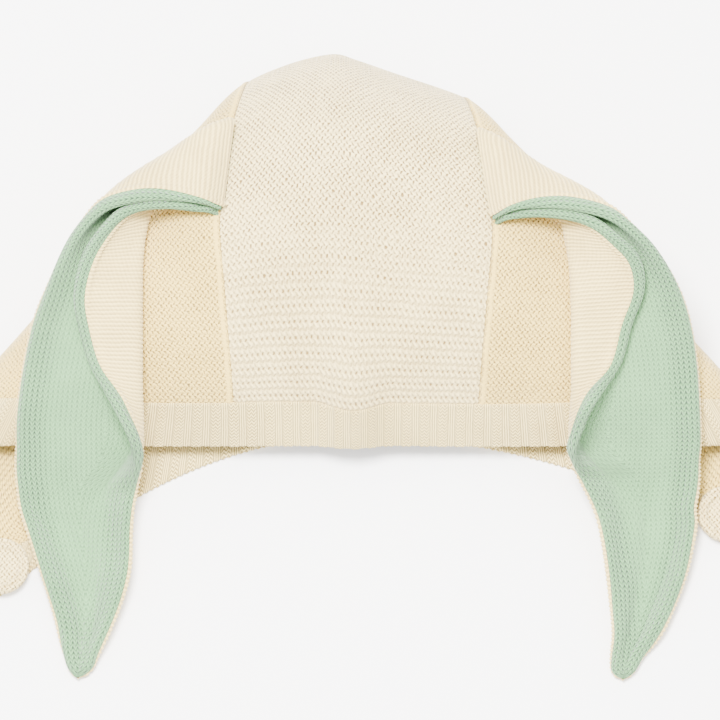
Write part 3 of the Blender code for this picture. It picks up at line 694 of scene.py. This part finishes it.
def ridged(g):
    """Fine ridges across the piece, with small stitches on them."""
    ridge = g.ramp(g.wave(g.v), low=-0.9, high=0.7)
    stitch = g.ramp(g.wave(g.add(g.u, g.times(g.v, 0.5))), low=-1.0, high=0.4)
    of_ridge, of_stitch = BACK_PARTS
    return g.add(g.times(ridge, of_ridge), g.times(stitch, of_stitch))


def ribbed(g):
    """Herringbone columns and fine upright lines by turns, along v."""
    zigzags, uprights = RIB_LINES
    zig = g.zigzag(g.times(g.u, zigzags))
    bone = g.ramp(g.wave(g.add(g.v, g.times(zig, BONE_SLANT))), low=-0.9, high=0.5)
    lines = g.ramp(g.wave(g.times(g.u, uprights)), low=-0.9, high=0.3)
    on_lines = g.ramp(g.zigzag(g.u), low=0.42, high=0.58)
    body = g.add(g.times(bone, g.math("SUBTRACT", 1.0, on_lines)), g.times(lines, on_lines))
    groove = g.ramp(g.math("ABSOLUTE", g.add(g.math("FRACT", g.u), -0.25)), low=0.0, high=0.05)
    return g.times(body, g.add(g.times(groove, 0.5), 0.5))


# Each yarn's shade colour is painted shade, laid into the low places of its stitch pattern; the fifth
# column sets how strongly
YARN_COLUMNS = ("light", "shade", "pattern", "depth", "painted_shade_share", "loose")
YARNS = {
    "crown_knit": (CREAM, CREAM_HOLE_PAINTED_SHADE, garter, 0.0006, 1.0, KNIT_LOOSE),
    # The side panels' darker, yellower cream is painted shade from the ears.
    "side_knit": (SIDE_CREAM_WITH_PAINTED_SHADE, WARM_HOLE_PAINTED_SHADE, seamed_lattice, 0.0006, 0.85, KNIT_LOOSE),
    "ear_knit": (EAR_CREAM_WITH_PAINTED_SHADE, CREAM_HOLE_PAINTED_SHADE, ridged, 0.0003, 0.5, EAR_LOOSE),
    "lining": (MINT, MINT_HOLE_PAINTED_SHADE, stockinette, 0.0009, 0.9, EAR_LOOSE),
    "tab": (CREAM, WARM_HOLE_PAINTED_SHADE, lattice, 0.0005, 0.85, KNIT_LOOSE),
    "neck_rib": (BAND_CREAM_WITH_PAINTED_LIGHT, WARM_HOLE_PAINTED_SHADE, ribbed, 0.0005, 0.62, RIB_LOOSE),
    "face_rib": (BAND_CREAM_WITH_PAINTED_LIGHT, WARM_HOLE_PAINTED_SHADE, ribbed, 0.0005, 0.72, RIB_LOOSE),
}


def knit(kind, ending=""):
    """Yarn material: the yarn's colour on the loops, and painted shade, dark and warm, in the holes."""
    yarn = dict(zip(YARN_COLUMNS, YARNS[kind]))
    g = Graph(kind + "_yarn" + ending)
    uneven(g, *yarn["loose"])
    height = yarn["pattern"](g)
    patch_scale, patch_tone = PATCH
    fibre_scale, fibre_tone, fibre_height = FIBRE
    patchy = g.ramp(g.noise(patch_scale, 3), low=0.35, high=0.65, stop=patch_tone)
    fibre = g.noise(fibre_scale, 2)
    # Painted shade: the pattern's holes and grooves take the shade colour; the faint patches and fibres
    # are the yarn's own uneven tone
    tone = g.add(g.times(height, yarn["painted_shade_share"]), 1.0 - yarn["painted_shade_share"])
    tone = g.add(g.math("SUBTRACT", tone, patchy), g.times(g.add(fibre, -0.5), fibre_tone))
    g.link(g.mix(tone, yarn["shade"], yarn["light"]), g.shader.inputs["Base Color"])
    bump = g.tree.nodes.new("ShaderNodeBump")
    bump.inputs["Strength"].default_value = BUMP
    bump.inputs["Distance"].default_value = yarn["depth"]
    g.link(g.add(height, g.times(fibre, fibre_height)), bump.inputs["Height"])
    g.link(bump.outputs["Normal"], g.shader.inputs["Normal"])
    for socket, value in YARN_SURFACE.items():
        g.shader.inputs[socket].default_value = value
    return g.material


def hole_relief(u, v):
    """Height of the staggered loops, from -1 in a hole to 0."""
    return -np.clip(np.cos(2 * np.pi * u) * np.cos(2 * np.pi * v), 0, 1)


def nape_grid(across, measure, stitch_length):
    """Nape side of a panel past its band, and the stitches counted along it."""
    def line(along):
        return body_point(measure, along, True)

    starts = inset(across, True, BAND_WIDTH)
    start = float(starts.mean())
    _, length = even(line, start, 1, LENGTH_STEPS)
    rows = round(length / stitch_length) * PER_STITCH
    alongs, _ = even(line, start, 1, rows)
    shares = (alongs - alongs[0]) / (1 - alongs[0])
    along = starts[None, :] + (1 - starts[None, :]) * shares[:, None]
    v = np.linspace(0, rows / PER_STITCH, rows + 1)[:, None] + np.zeros_like(along)
    return body_point(across[None, :], along, True), v


def face_grid(across):
    """Face side of a panel past its band."""
    starts = inset(across, False, BAND_WIDTH)
    share = np.linspace(0, 1, FACE_ROWS)[:, None]
    return body_point(across[None, :], starts + (1 - starts) * share, False)


def four_skins(points, relief, uv, face, face_uv, thin, sign):
    """Outer and inner skins of a panel's nape side and face side, with stitch coordinates."""
    normals = grid_normals(points, sign)
    nape = points + normals * relief[..., None]
    back = points[thin] - normals[thin] * CLOTH
    inner = face - grid_normals(face, -sign) * CLOTH
    return [(nape, uv), (face, face_uv), (back, uv[thin]), (inner, face_uv)]


def crown_panel(material):
    """Centre panel: the nape side with its stitches, the face side, and both insides."""
    columns = round(SEAM_SPAN / CROWN_STITCH[0])
    across = np.linspace(-1, 1, columns * PER_STITCH + 1)
    points, v = nape_grid(across, CROWN_MEASURE, CROWN_STITCH[1])
    u = across[None, :] * columns / 2 + np.zeros_like(v)
    ridges = 1 - smoothstep(*RIDGE_ZONE, points[..., 1])
    relief = hole_relief(u, v) * (1 - ridges) - np.cos(2 * np.pi * v) * RIDGE_SHARE * ridges
    seam_width, seam_depth = CROWN_SEAM
    edge = np.minimum(1 - np.abs(across), seam_width)[None, :] / seam_width
    relief = relief * edge - seam_depth * (1 - edge) ** 2
    coarse = across[::PER_STITCH]
    face = face_grid(coarse)
    face_u = coarse[None, :] * columns / 2 + np.zeros(face.shape[:2])
    face_uv = np.stack([face_u, walked(face) / CROWN_STITCH[1]], -1)
    thin = np.s_[::PER_STITCH, ::PER_STITCH]
    skins = four_skins(points, relief * CROWN_RELIEF, np.stack([u, v], -1), face, face_uv, thin, 1)
    piece = add_piece("crown_panel_knit", "crown_panel", skins, material)


def side_panel(side, material):
    """Side panel: the nape side with its stitches, the face side, and both insides."""
    fine = np.linspace(0, 1, SIDE_COLUMNS + 1)
    across = side * (1 + 2 / np.pi * np.arcsin(fine))
    points, v = nape_grid(across, side * SIDE_MEASURE, SIDE_STITCH[1])
    u = walked(points, 1) / SIDE_STITCH[0]
    seam_width, seam_depth = SIDE_SEAM
    edge = np.minimum(fine, seam_width)[None, :] / seam_width
    place, width = SELVEDGE
    selvedge = np.exp(-((u - place) / width) ** 2) * beads(v, SELVEDGE_STITCH)
    relief = hole_relief(u, v) * edge - seam_depth * (1 - edge) ** 2 + selvedge
    face = face_grid(across[::SIDE_THINNING])
    face_uv = np.stack([walked(face, 1) / SIDE_STITCH[0], walked(face) / SIDE_STITCH[1]], -1)
    thin = np.s_[::PER_STITCH, ::SIDE_THINNING]
    skins = four_skins(points, relief * SIDE_RELIEF, np.stack([u, v], -1), face, face_uv, thin, side)
    name = "side_panel_" + SIDE_NAMES[side]
    piece = add_piece(name + "_knit", name, skins, material)


def band_places(across):
    """Surface and place for a place that may lie past the side fold, on the nape side."""
    past = np.abs(across) > SIDE_FOLD
    return np.where(past, np.sign(across) * (2 * SIDE_FOLD - np.abs(across)), across), past


def band(name, end, material, nape):
    """Ribbed band: outer side, rolled hem and inner side in one sheet."""
    def middle(values):
        places, past = band_places(values)
        on_nape = past if not nape else ~past
        upper = body_point(places, BAND_MEASURE, True)
        lower = body_point(places, BAND_MEASURE, False)
        return np.where(on_nape[:, None], upper, lower)

    _, length = even(middle, -end, end, LENGTH_STEPS)
    ribs = round(length / RIB_STITCH[0])
    across, _ = even(middle, -end, end, ribs * PER_RIB)
    places, past = band_places(across)
    on_nape = past if not nape else ~past
    steps = np.linspace(0, BAND_WIDTH, BAND_ROWS)
    grid = np.zeros((len(steps), len(across), 3))
    for flag in (True, False):
        chosen = np.flatnonzero(on_nape == flag)
        if len(chosen):
            for i, step in enumerate(steps):
                along = inset(places[chosen], flag, step)
                grid[i, chosen] = body_point(places[chosen], along, flag)
    u = np.linspace(0, ribs, len(across))[None, :] + np.zeros(grid.shape[:2])
    v = steps[:, None] / RIB_STITCH[1] + np.zeros(grid.shape[:2])
    normals = grid_normals(grid)
    hollow = np.array([0, CROWN_DEPTH * HOLLOW[0], PUFF_HEIGHT * HOLLOW[1]])
    halfway = len(across) // 2
    if np.sum(normals[:, halfway] * (grid[:, halfway] - hollow)) < 0:
        normals = -normals
    relief = RIB_RELIEF * (0.5 + 0.5 * np.cos(2 * np.pi * (u - 0.5)))
    line = np.exp(-((steps[:, None] - BAND_WIDTH + BAND_LINE) / BAND_LINE) ** 2)
    relief = relief + LINE_RELIEF * line * beads(u * SCALLOPS, LINE_STITCH)
    outer = grid + normals * relief[..., None]
    hem = np.linspace(0, np.pi, HEM_STEPS)[1:-1]
    down = grid[0] - grid[1]
    down = down / np.linalg.norm(down, axis=-1, keepdims=True)
    scallop = 1 + SCALLOP_DEPTH * np.cos(2 * np.pi * u[0] * SCALLOPS)
    roll = []
    for angle in hem:
        out = np.sin(angle) * CLOTH / 2 * scallop[:, None]
        roll.append(outer[0] - normals[0] * (1 - np.cos(angle)) * CLOTH / 2 + down * out)
    inner = grid - normals * CLOTH
    top = [outer[-1] + (inner[-1] - outer[-1]) * t for t in (0.33, 0.67)]
    rows = [outer[::-1], np.array(roll), inner[::BAND_THINNING], np.array(top[::-1]), outer[-1:]]
    sheet = np.concatenate(rows)
    u_all = np.repeat(u[:1], len(sheet), axis=0)
    v_all = walked(sheet[:, halfway][:, None])[:, 0] / RIB_STITCH[1]
    uv = np.stack([u_all, v_all[:, None] + np.zeros_like(u_all)], -1)
    piece = add_piece(name + "_rib", name, [(sheet, uv)], material)


def support(x, y):
    """Height of what lies under an ear: the hat, a flap or the table."""
    side = np.where(x < 0, -1, 1)
    below = y < 0
    along = np.clip(np.where(below, 0, y) / depth_at(side), 0, 1)
    seam = seam_x(along)
    reach = side_share(along) * SIDE_REACH
    share = np.clip((np.abs(x) - seam) / np.maximum(reach, NEVER_ZERO), 0, 1)
    on_panel = body_point(np.clip(x / seam, -1, 1), along, True)[..., 2]
    height = np.where(np.abs(x) <= seam, on_panel, side_section(along, share, True)[1])
    height = np.where(np.abs(x) >= seam + reach, CLOTH, height)
    flap = np.where(y > face_edge(x), CLOTH + RIB_DEPTH, 0)
    return np.where(below, np.maximum(flap, height + EAR_FALL * y), height)


def ball_over(x, y):
    """Lowest height at which the middle of an ear clears what lies under it."""
    height = support(x, y) + EAR_SEAT
    for ring in BALL_RINGS:
        reach = EAR_SEAT * ring
        rise = np.sqrt(EAR_SEAT ** 2 - reach ** 2)
        for angle in np.arange(BALL_TURNS) * 2 * np.pi / BALL_TURNS:
            beside = support(x + reach * np.cos(angle), y + reach * np.sin(angle))
            height = np.maximum(height, beside + rise)
    return height


def ear_section(side, row, outer, turns, inner):
    """Points across an ear, from its outer rim round the fold to its inner rim."""
    station = dict(zip(EAR_COLUMNS, row))
    root = body_point(float(side), EAR_ROOT, True)

    def place(out, down, high):
        x = side * (abs(root[0]) + out * EAR_OUT)
        seen = root[1] * np.sin(SIGHT) + root[2] * np.cos(SIGHT) - down * EAR_DROP
        z = high * PUFF_HEIGHT
        return np.array([x, (seen - z * np.cos(SIGHT)) / np.sin(SIGHT), z])

    fold = place(station["fold_out"], station["fold_down"], station["fold_high"])
    rim = place(station["rim_out"], station["rim_down"], station["rim_high"])
    roll = np.radians(station["roll"])
    sideways = np.sin(roll) * np.sqrt(0.5)
    towards = np.array([-side * sideways, -sideways, -np.cos(roll)])
    opening = min(np.arccos(np.clip(station["inner"] / EAR_STAND, -1, 1)), EAR_OPEN)
    most = np.linalg.norm(rim - fold) * FOLD_MOST
    radius = min(EAR_FOLD / 2 * (1 + 2 * opening / np.pi), most)
    middle = -np.pi + opening / 2
    out = rim - fold - towards * radius * (-np.sin(middle) - 1)
    out = out / np.linalg.norm(out)
    towards = towards - out * towards.dot(out)
    towards = towards / np.linalg.norm(towards)
    centre = fold - (out * np.cos(middle) + towards * np.sin(middle)) * radius
    start = centre - towards * radius
    width = np.linalg.norm(rim - start)
    bow = towards * -EAR_BULGE * np.sin(roll) ** 2
    points = [start + (rim - start) * t + bow * 4 * t * (1 - t) for t in outer]
    angles = -np.pi / 2 - (np.pi - opening) * turns
    points += [centre + (out * np.cos(a) + towards * np.sin(a)) * radius for a in angles]
    away = out * np.cos(opening) + towards * np.sin(opening)
    length = max(abs(station["inner"]), EAR_STAND) * width
    points += [points[-1] + away * length * t for t in inner]
    return np.array(points)


def ear_stations(side, outer, turns, inner):
    """Closely spaced cross-sections of an ear."""
    rows = [ear_section(side, row, outer, turns, inner) for row in EAR_TABLES[side]]
    return dense(rows, STATION_STEPS)


def ear_lifts(side, rows):
    """Lifts of the solid ear's rows, which set it clear of the hat."""
    fine = ear_stations(side, SOLID_OUTER, np.linspace(0, 1, SOLID_TURNS), SOLID_INNER)
    lengths = walked(fine[:, len(SOLID_OUTER) - 1])
    goal = np.linspace(0, lengths[-1], rows + 1)
    grid = at_lengths(fine, lengths, goal)
    lifts = np.maximum(0, ball_over(grid[..., 0], grid[..., 1]) - grid[..., 2]).max(axis=1)
    for _ in range(LIFT_PASSES):
        padded = np.concatenate([lifts[:1], lifts, lifts[-1:]])
        lifts = np.maximum(lifts, (padded[:-2] + padded[2:]) / 2)
    return lifts


def at_lengths(fine, lengths, goal):
    """Rows of a fine grid at given lengths."""
    shape = fine.shape[1:]
    flat = fine.reshape(len(fine), -1)
    columns = [np.interp(goal, lengths, flat[:, i]) for i in range(flat.shape[1])]
    return np.stack(columns, 1).reshape((len(goal),) + shape)


def blurred(grid, axis, passes):
    """Grid with small kinks smoothed out along an axis; its ends stay."""
    grid = np.moveaxis(grid.copy(), axis, 0)
    for _ in range(passes):
        grid[1:-1] = (grid[:-2] + 2 * grid[1:-1] + grid[2:]) / 4
    return np.moveaxis(grid, 0, axis)


def ear_middle(side):
    """Even grid of points on the middle of an ear, and each row's place among the stations."""
    outer = np.linspace(1, 0, OUTER_POINTS + 1)[:-1]
    inner = np.linspace(0, 1, INNER_POINTS + 1)[1:]
    fine = ear_stations(side, outer, np.linspace(0, 1, FOLD_POINTS), inner)
    lengths = walked(fine[:, MEASURED_POINT])
    goal = np.linspace(0, lengths[-1], EAR_ROWS + 1)
    grid = at_lengths(fine, lengths, goal)
    station = np.interp(goal, lengths, np.linspace(0, len(EAR_TABLES[side]) - 1, len(fine)))
    lifts = ear_lifts(side, SOLID_EAR_ROWS)
    lift = np.interp(goal, np.linspace(0, lengths[-1], len(lifts)), lifts)
    lift = blurred(lift, 0, LIFT_BLURS)
    grid[..., 1] -= lift[:, None] * SLIDE
    grid[..., 2] += lift[:, None]
    turn = np.clip(1 - goal / ROOT_TURN, 0, 1)
    grid[..., 2] -= (ROOT_SINK * smoothstep(0, 1, turn))[:, None]
    even_grid = np.zeros((len(goal), EAR_COLUMN_COUNT + 1, 3))
    for r, row in enumerate(grid):
        along = walked(row)
        even_grid[r] = at_lengths(row, along, np.linspace(0, along[-1], EAR_COLUMN_COUNT + 1))
    across = np.linspace(-1, 1, EAR_COLUMN_COUNT + 1)[None, :]
    to_tip = (goal[-1] - goal)[:, None]
    flat = smoothstep(*HALVES_OPEN, station)[:, None] * smoothstep(0, TROUGH_END, to_tip)
    share, turns_across, turns_along = TROUGH_WAVE
    wave = share * np.sin(across * turns_across + to_tip * turns_along) ** 2
    even_grid[..., 2] += flat * TROUGH * (across ** 2 + wave)
    along_blurs, across_blurs = MIDDLE_BLURS
    return blurred(blurred(even_grid, 0, along_blurs), 1, across_blurs), station


def ear_skins(side):
    """Grids and stitch coordinates of an ear's lining and back."""
    middle, station = ear_middle(side)
    normals = grid_normals(middle, side)
    tangents = np.gradient(middle, axis=1)
    tangents /= np.maximum(np.linalg.norm(tangents, axis=-1, keepdims=True), NEVER_ZERO)
    lengths = walked(middle, 1)
    width = lengths[:, -1]
    to_tip = walked(middle[::-1, EAR_COLUMN_COUNT // 3][:, None])[::-1, 0]
    to_root = to_tip[0] - to_tip
    growth = RIM_AT_ROOT + (1 - RIM_AT_ROOT) * smoothstep(0, RIM_GROWTH, to_root)
    rim = np.minimum(RIM_RADIUS * growth, width * RIM_MOST)
    close = round_edge(to_tip, RIM_RADIUS) * round_edge(to_root, RIM_RADIUS)
    inner_column = EAR_COLUMNS.index("inner")
    table = EAR_TABLES[side]
    share = np.interp(station, np.arange(len(table)), [row[inner_column] for row in table])
    front = width - 2 * rim
    at_tip = 1 - smoothstep(*TIP_BLEND, to_tip)
    open_turn = rim * (SEAM_TURN + (TIP_TURN - SEAM_TURN) * at_tip)
    rolled = rim * np.pi + WRAP * growth
    first = -(open_turn + (rolled - open_turn) * (1 - smoothstep(*OUTER_WRAP, station)))
    last = front + open_turn + (rolled - open_turn) * smoothstep(*INNER_WRAP, share)
    whole = 2 * front + 2 * np.pi * rim
    shares = np.linspace(0, 1, SKIN_COLUMNS + 1)[None, :]
    skins = []
    for begin, stop in ((first, last), (last, first + whole)):
        path = begin[:, None] + (stop - begin)[:, None] * shares
        skins.append(ring_points(middle, normals, tangents, lengths, width, rim, front, close, path))
    return skins, to_tip


def ring_points(middle, normals, tangents, lengths, width, rim, front, close, path):
    """Points on the closed outline of each section, at given lengths along it."""
    turn = np.pi * rim[:, None]
    front, radius, whole = front[:, None], rim[:, None], width[:, None]
    path = np.where(path < -turn, path + 2 * (front + turn), path)
    p = np.where(path > front + turn + front, path - 2 * (front + turn), path)
    outer_angle = np.clip(-p / radius, 0, np.pi)
    inner_angle = np.clip((p - front) / radius, 0, np.pi)
    on_back = np.clip(p - front - turn, 0, front)
    at = np.where(p < 0, radius, np.where(p <= front, radius + p, whole - radius - on_back))
    sideways = np.where(p < 0, -np.sin(outer_angle), np.where(p > front, np.sin(inner_angle), 0)) * radius
    facing = np.where(p < 0, np.cos(outer_angle), np.where(p <= front, 1, np.cos(inner_angle)))
    from_rim = np.minimum(at, whole - at) - radius
    thick = EAR_HALF + (radius - EAR_HALF) * (1 - smoothstep(0, RIM_FADE, from_rim))
    result = np.zeros(path.shape + (3,))
    for r in range(len(path)):
        for axis in range(3):
            base = np.interp(at[r], lengths[r], middle[r, :, axis])
            normal = np.interp(at[r], lengths[r], normals[r, :, axis])
            tangent = np.interp(at[r], lengths[r], tangents[r, :, axis])
            result[r, :, axis] = base + normal * (facing * thick)[r] * close[r] + tangent * sideways[r]
    return result


def skin_places(skin, to_tip, stitch_length, side):
    """Distances across and from the rims, stitches from the tip, and normals of an ear's skin."""
    across = walked(skin, 1)
    from_rim = np.minimum(across, across[:, -1:] - across)
    v = to_tip[:, None] / stitch_length + np.zeros_like(across)
    return across, from_rim, v, grid_normals(skin, side)


def ear(side, cream, mint):
    """Back and lining of an ear."""
    (lining, back), to_tip = ear_skins(side)
    name = SIDE_NAMES[side]
    _, from_rim, v, normals = skin_places(lining, to_tip, LINING_STITCH[1], side)
    u = from_rim / LINING_STITCH[0]
    fade = 1 - smoothstep(*GROOVE_END, from_rim)
    relief = -LINING_RELIEF * (0.5 + 0.5 * np.cos(2 * np.pi * u)) * fade
    shown = lining + normals * (relief * smoothstep(0, RIM_SEAM, from_rim))[..., None]
    grids = [(shown, np.stack([u, v], -1))]
    piece = add_piece("ear_lining_%s_knit" % name, "ear_lining_" + name, grids, mint)
    across, from_rim, v, normals = skin_places(back, to_tip, EAR_RIDGE[1], side)
    u = across / EAR_RIDGE[0]
    relief = RIDGE_RELIEF * np.cos(2 * np.pi * v) * smoothstep(*RIDGE_START, from_rim)
    bead = np.exp(-((from_rim - EDGE_BEAD) / EDGE_BEAD * BEAD_NARROWING) ** 2) * beads(v, BEAD_STITCH)
    relief = relief + BEAD_RELIEF * bead * smoothstep(0, RIM_SEAM, from_rim)
    shown = back + normals * relief[..., None]
    to_root = to_tip[0] - to_tip
    shown[..., 0] -= (side * ROOT_COVER * np.clip(1 - to_root / ROOT_TURN, 0, 1))[:, None]
    grids = [(shown, np.stack([u, v], -1))]
    piece = add_piece("ear_back_%s_knit" % name, "ear_back_" + name, grids, cream)


def chin_tab(side, material):
    """Rounded end of a flap, with a raised double rim."""
    corner = FLAP_CORNER[side] * (seam_x(0) + SIDE_REACH)
    near = side * (corner + TAB_RADIUS + TAB_INSET)
    base = CLOTH + RIB_DEPTH + TAB_GAP
    height = TAB_THICKNESS + TAB_RIM
    rings = dense(TAB_PROFILE[1:], TAB_STEPS)
    angles = np.linspace(0, 2 * np.pi, TAB_TURNS + 1)
    ring = np.stack([np.cos(angles), np.sin(angles)], -1)
    shift = np.where(np.cos(angles) * side > 0, side * TAB_LENGTH, 0)
    points = np.zeros((len(rings), len(angles), 3))
    spread = rings[:, 0][:, None]
    parted = shift * np.minimum(spread * TAB_PARTING, 1)
    points[..., 0] = near + parted + ring[:, 0] * spread * TAB_RADIUS
    points[..., 1] = -FLAP_DROP[side] + ring[:, 1] * spread * TAB_RADIUS
    points[..., 2] = base + rings[:, 1][:, None] * height
    uv = points[..., :2] / np.array(TAB_STITCH)
    name = SIDE_NAMES[side]
    add_piece("chin_tab_%s_knit" % name, "chin_tab_" + name, [(points, uv)], material)


def plain(name, colour, roughness):
    """Matt material with faint unevenness."""
    g = Graph(name)
    tone = g.ramp(g.noise(3, 2), low=0.3, high=0.7)
    shade = tuple(part * FLOOR_SHADE for part in colour)
    g.link(g.mix(tone, shade, colour), g.shader.inputs["Base Color"])
    g.shader.inputs["Roughness"].default_value = roughness
    g.shader.inputs["Specular IOR Level"].default_value = 0.1
    return g.material


def add_light(name, place, aim, size, power, colour):
    """Round soft light that points at its aim."""
    light = bpy.data.lights.new(name, "AREA")
    light.shape = "DISK"
    light.size = size
    light.energy = power
    light.color = colour
    obj = bpy.data.objects.new(name, light)
    obj.location = place
    direction = Vector(aim) - Vector(place)
    obj.rotation_euler = direction.to_track_quat("-Z", "Y").to_euler()
    obj.visible_camera = False
    bpy.context.scene.collection.objects.link(obj)


def add_camera():
    """Camera at the photo's angle, far off with a long lens."""
    data = bpy.data.cameras.new("camera")
    data.lens = LENS
    data.sensor_width = SENSOR
    distance = FRAME_WIDTH * LENS / SENSOR
    data.clip_start, data.clip_end = CLIP
    camera = bpy.data.objects.new("camera", data)
    aim = Vector(CAMERA_AIM)
    back = Vector((0, -np.cos(SIGHT), np.sin(SIGHT)))
    camera.location = aim + back * distance
    camera.rotation_euler = back.to_track_quat("Z", "Y").to_euler()
    bpy.context.scene.collection.objects.link(camera)
    bpy.context.scene.camera = camera


def add_floor():
    """Wide white floor under the hat."""
    mesh = bpy.data.meshes.new("floor")
    corners = [(x * FLOOR_HALF, y * FLOOR_HALF, 0) for x, y in ((-1, -1), (1, -1), (1, 1), (-1, 1))]
    mesh.from_pydata(corners, [], [(0, 1, 2, 3)])
    mesh.uv_layers.new(name="stitches")
    mesh.materials.append(plain("floor_paper", FLOOR, FLOOR_ROUGHNESS))
    floor = bpy.data.objects.new("floor", mesh)
    bpy.context.scene.collection.objects.link(floor)


def add_world():
    """Soft studio light, brighter from above than from the sides."""
    world = bpy.context.scene.world = bpy.data.worlds.new("studio")
    world.use_nodes = True
    tree = world.node_tree
    background = tree.nodes["Background"]
    background.inputs["Strength"].default_value = WORLD_STRENGTH
    place = tree.nodes.new("ShaderNodeTexCoord")
    split = tree.nodes.new("ShaderNodeSeparateXYZ")
    ramp = tree.nodes.new("ShaderNodeMapRange")
    mix = tree.nodes.new("ShaderNodeMix")
    mix.data_type = "RGBA"
    ramp.inputs["From Min"].default_value, ramp.inputs["From Max"].default_value = WORLD_BLEND
    mix.inputs["A"].default_value = (*WORLD_LOW, 1)
    mix.inputs["B"].default_value = (*WORLD_HIGH, 1)
    tree.links.new(place.outputs["Generated"], split.inputs[0])
    tree.links.new(split.outputs["Z"], ramp.inputs["Value"])
    tree.links.new(ramp.outputs["Result"], mix.inputs["Factor"])
    tree.links.new(mix.outputs["Result"], background.inputs["Color"])


add_camera()
add_floor()
add_world()
add_light("overhead", **OVERHEAD)

crown_panel(knit("crown_knit"))
for hat_side, side_name in SIDE_NAMES.items():
    side_panel(hat_side, knit("side_knit", "_" + side_name))
    ear(hat_side, knit("ear_knit", "_" + side_name), knit("lining", "_" + side_name))
    chin_tab(hat_side, knit("tab", "_" + side_name))
band("neck_band", BAND_MEETING, knit("neck_rib"), True)
band("face_band", 2 * SIDE_FOLD - BAND_MEETING, knit("face_rib"), False)
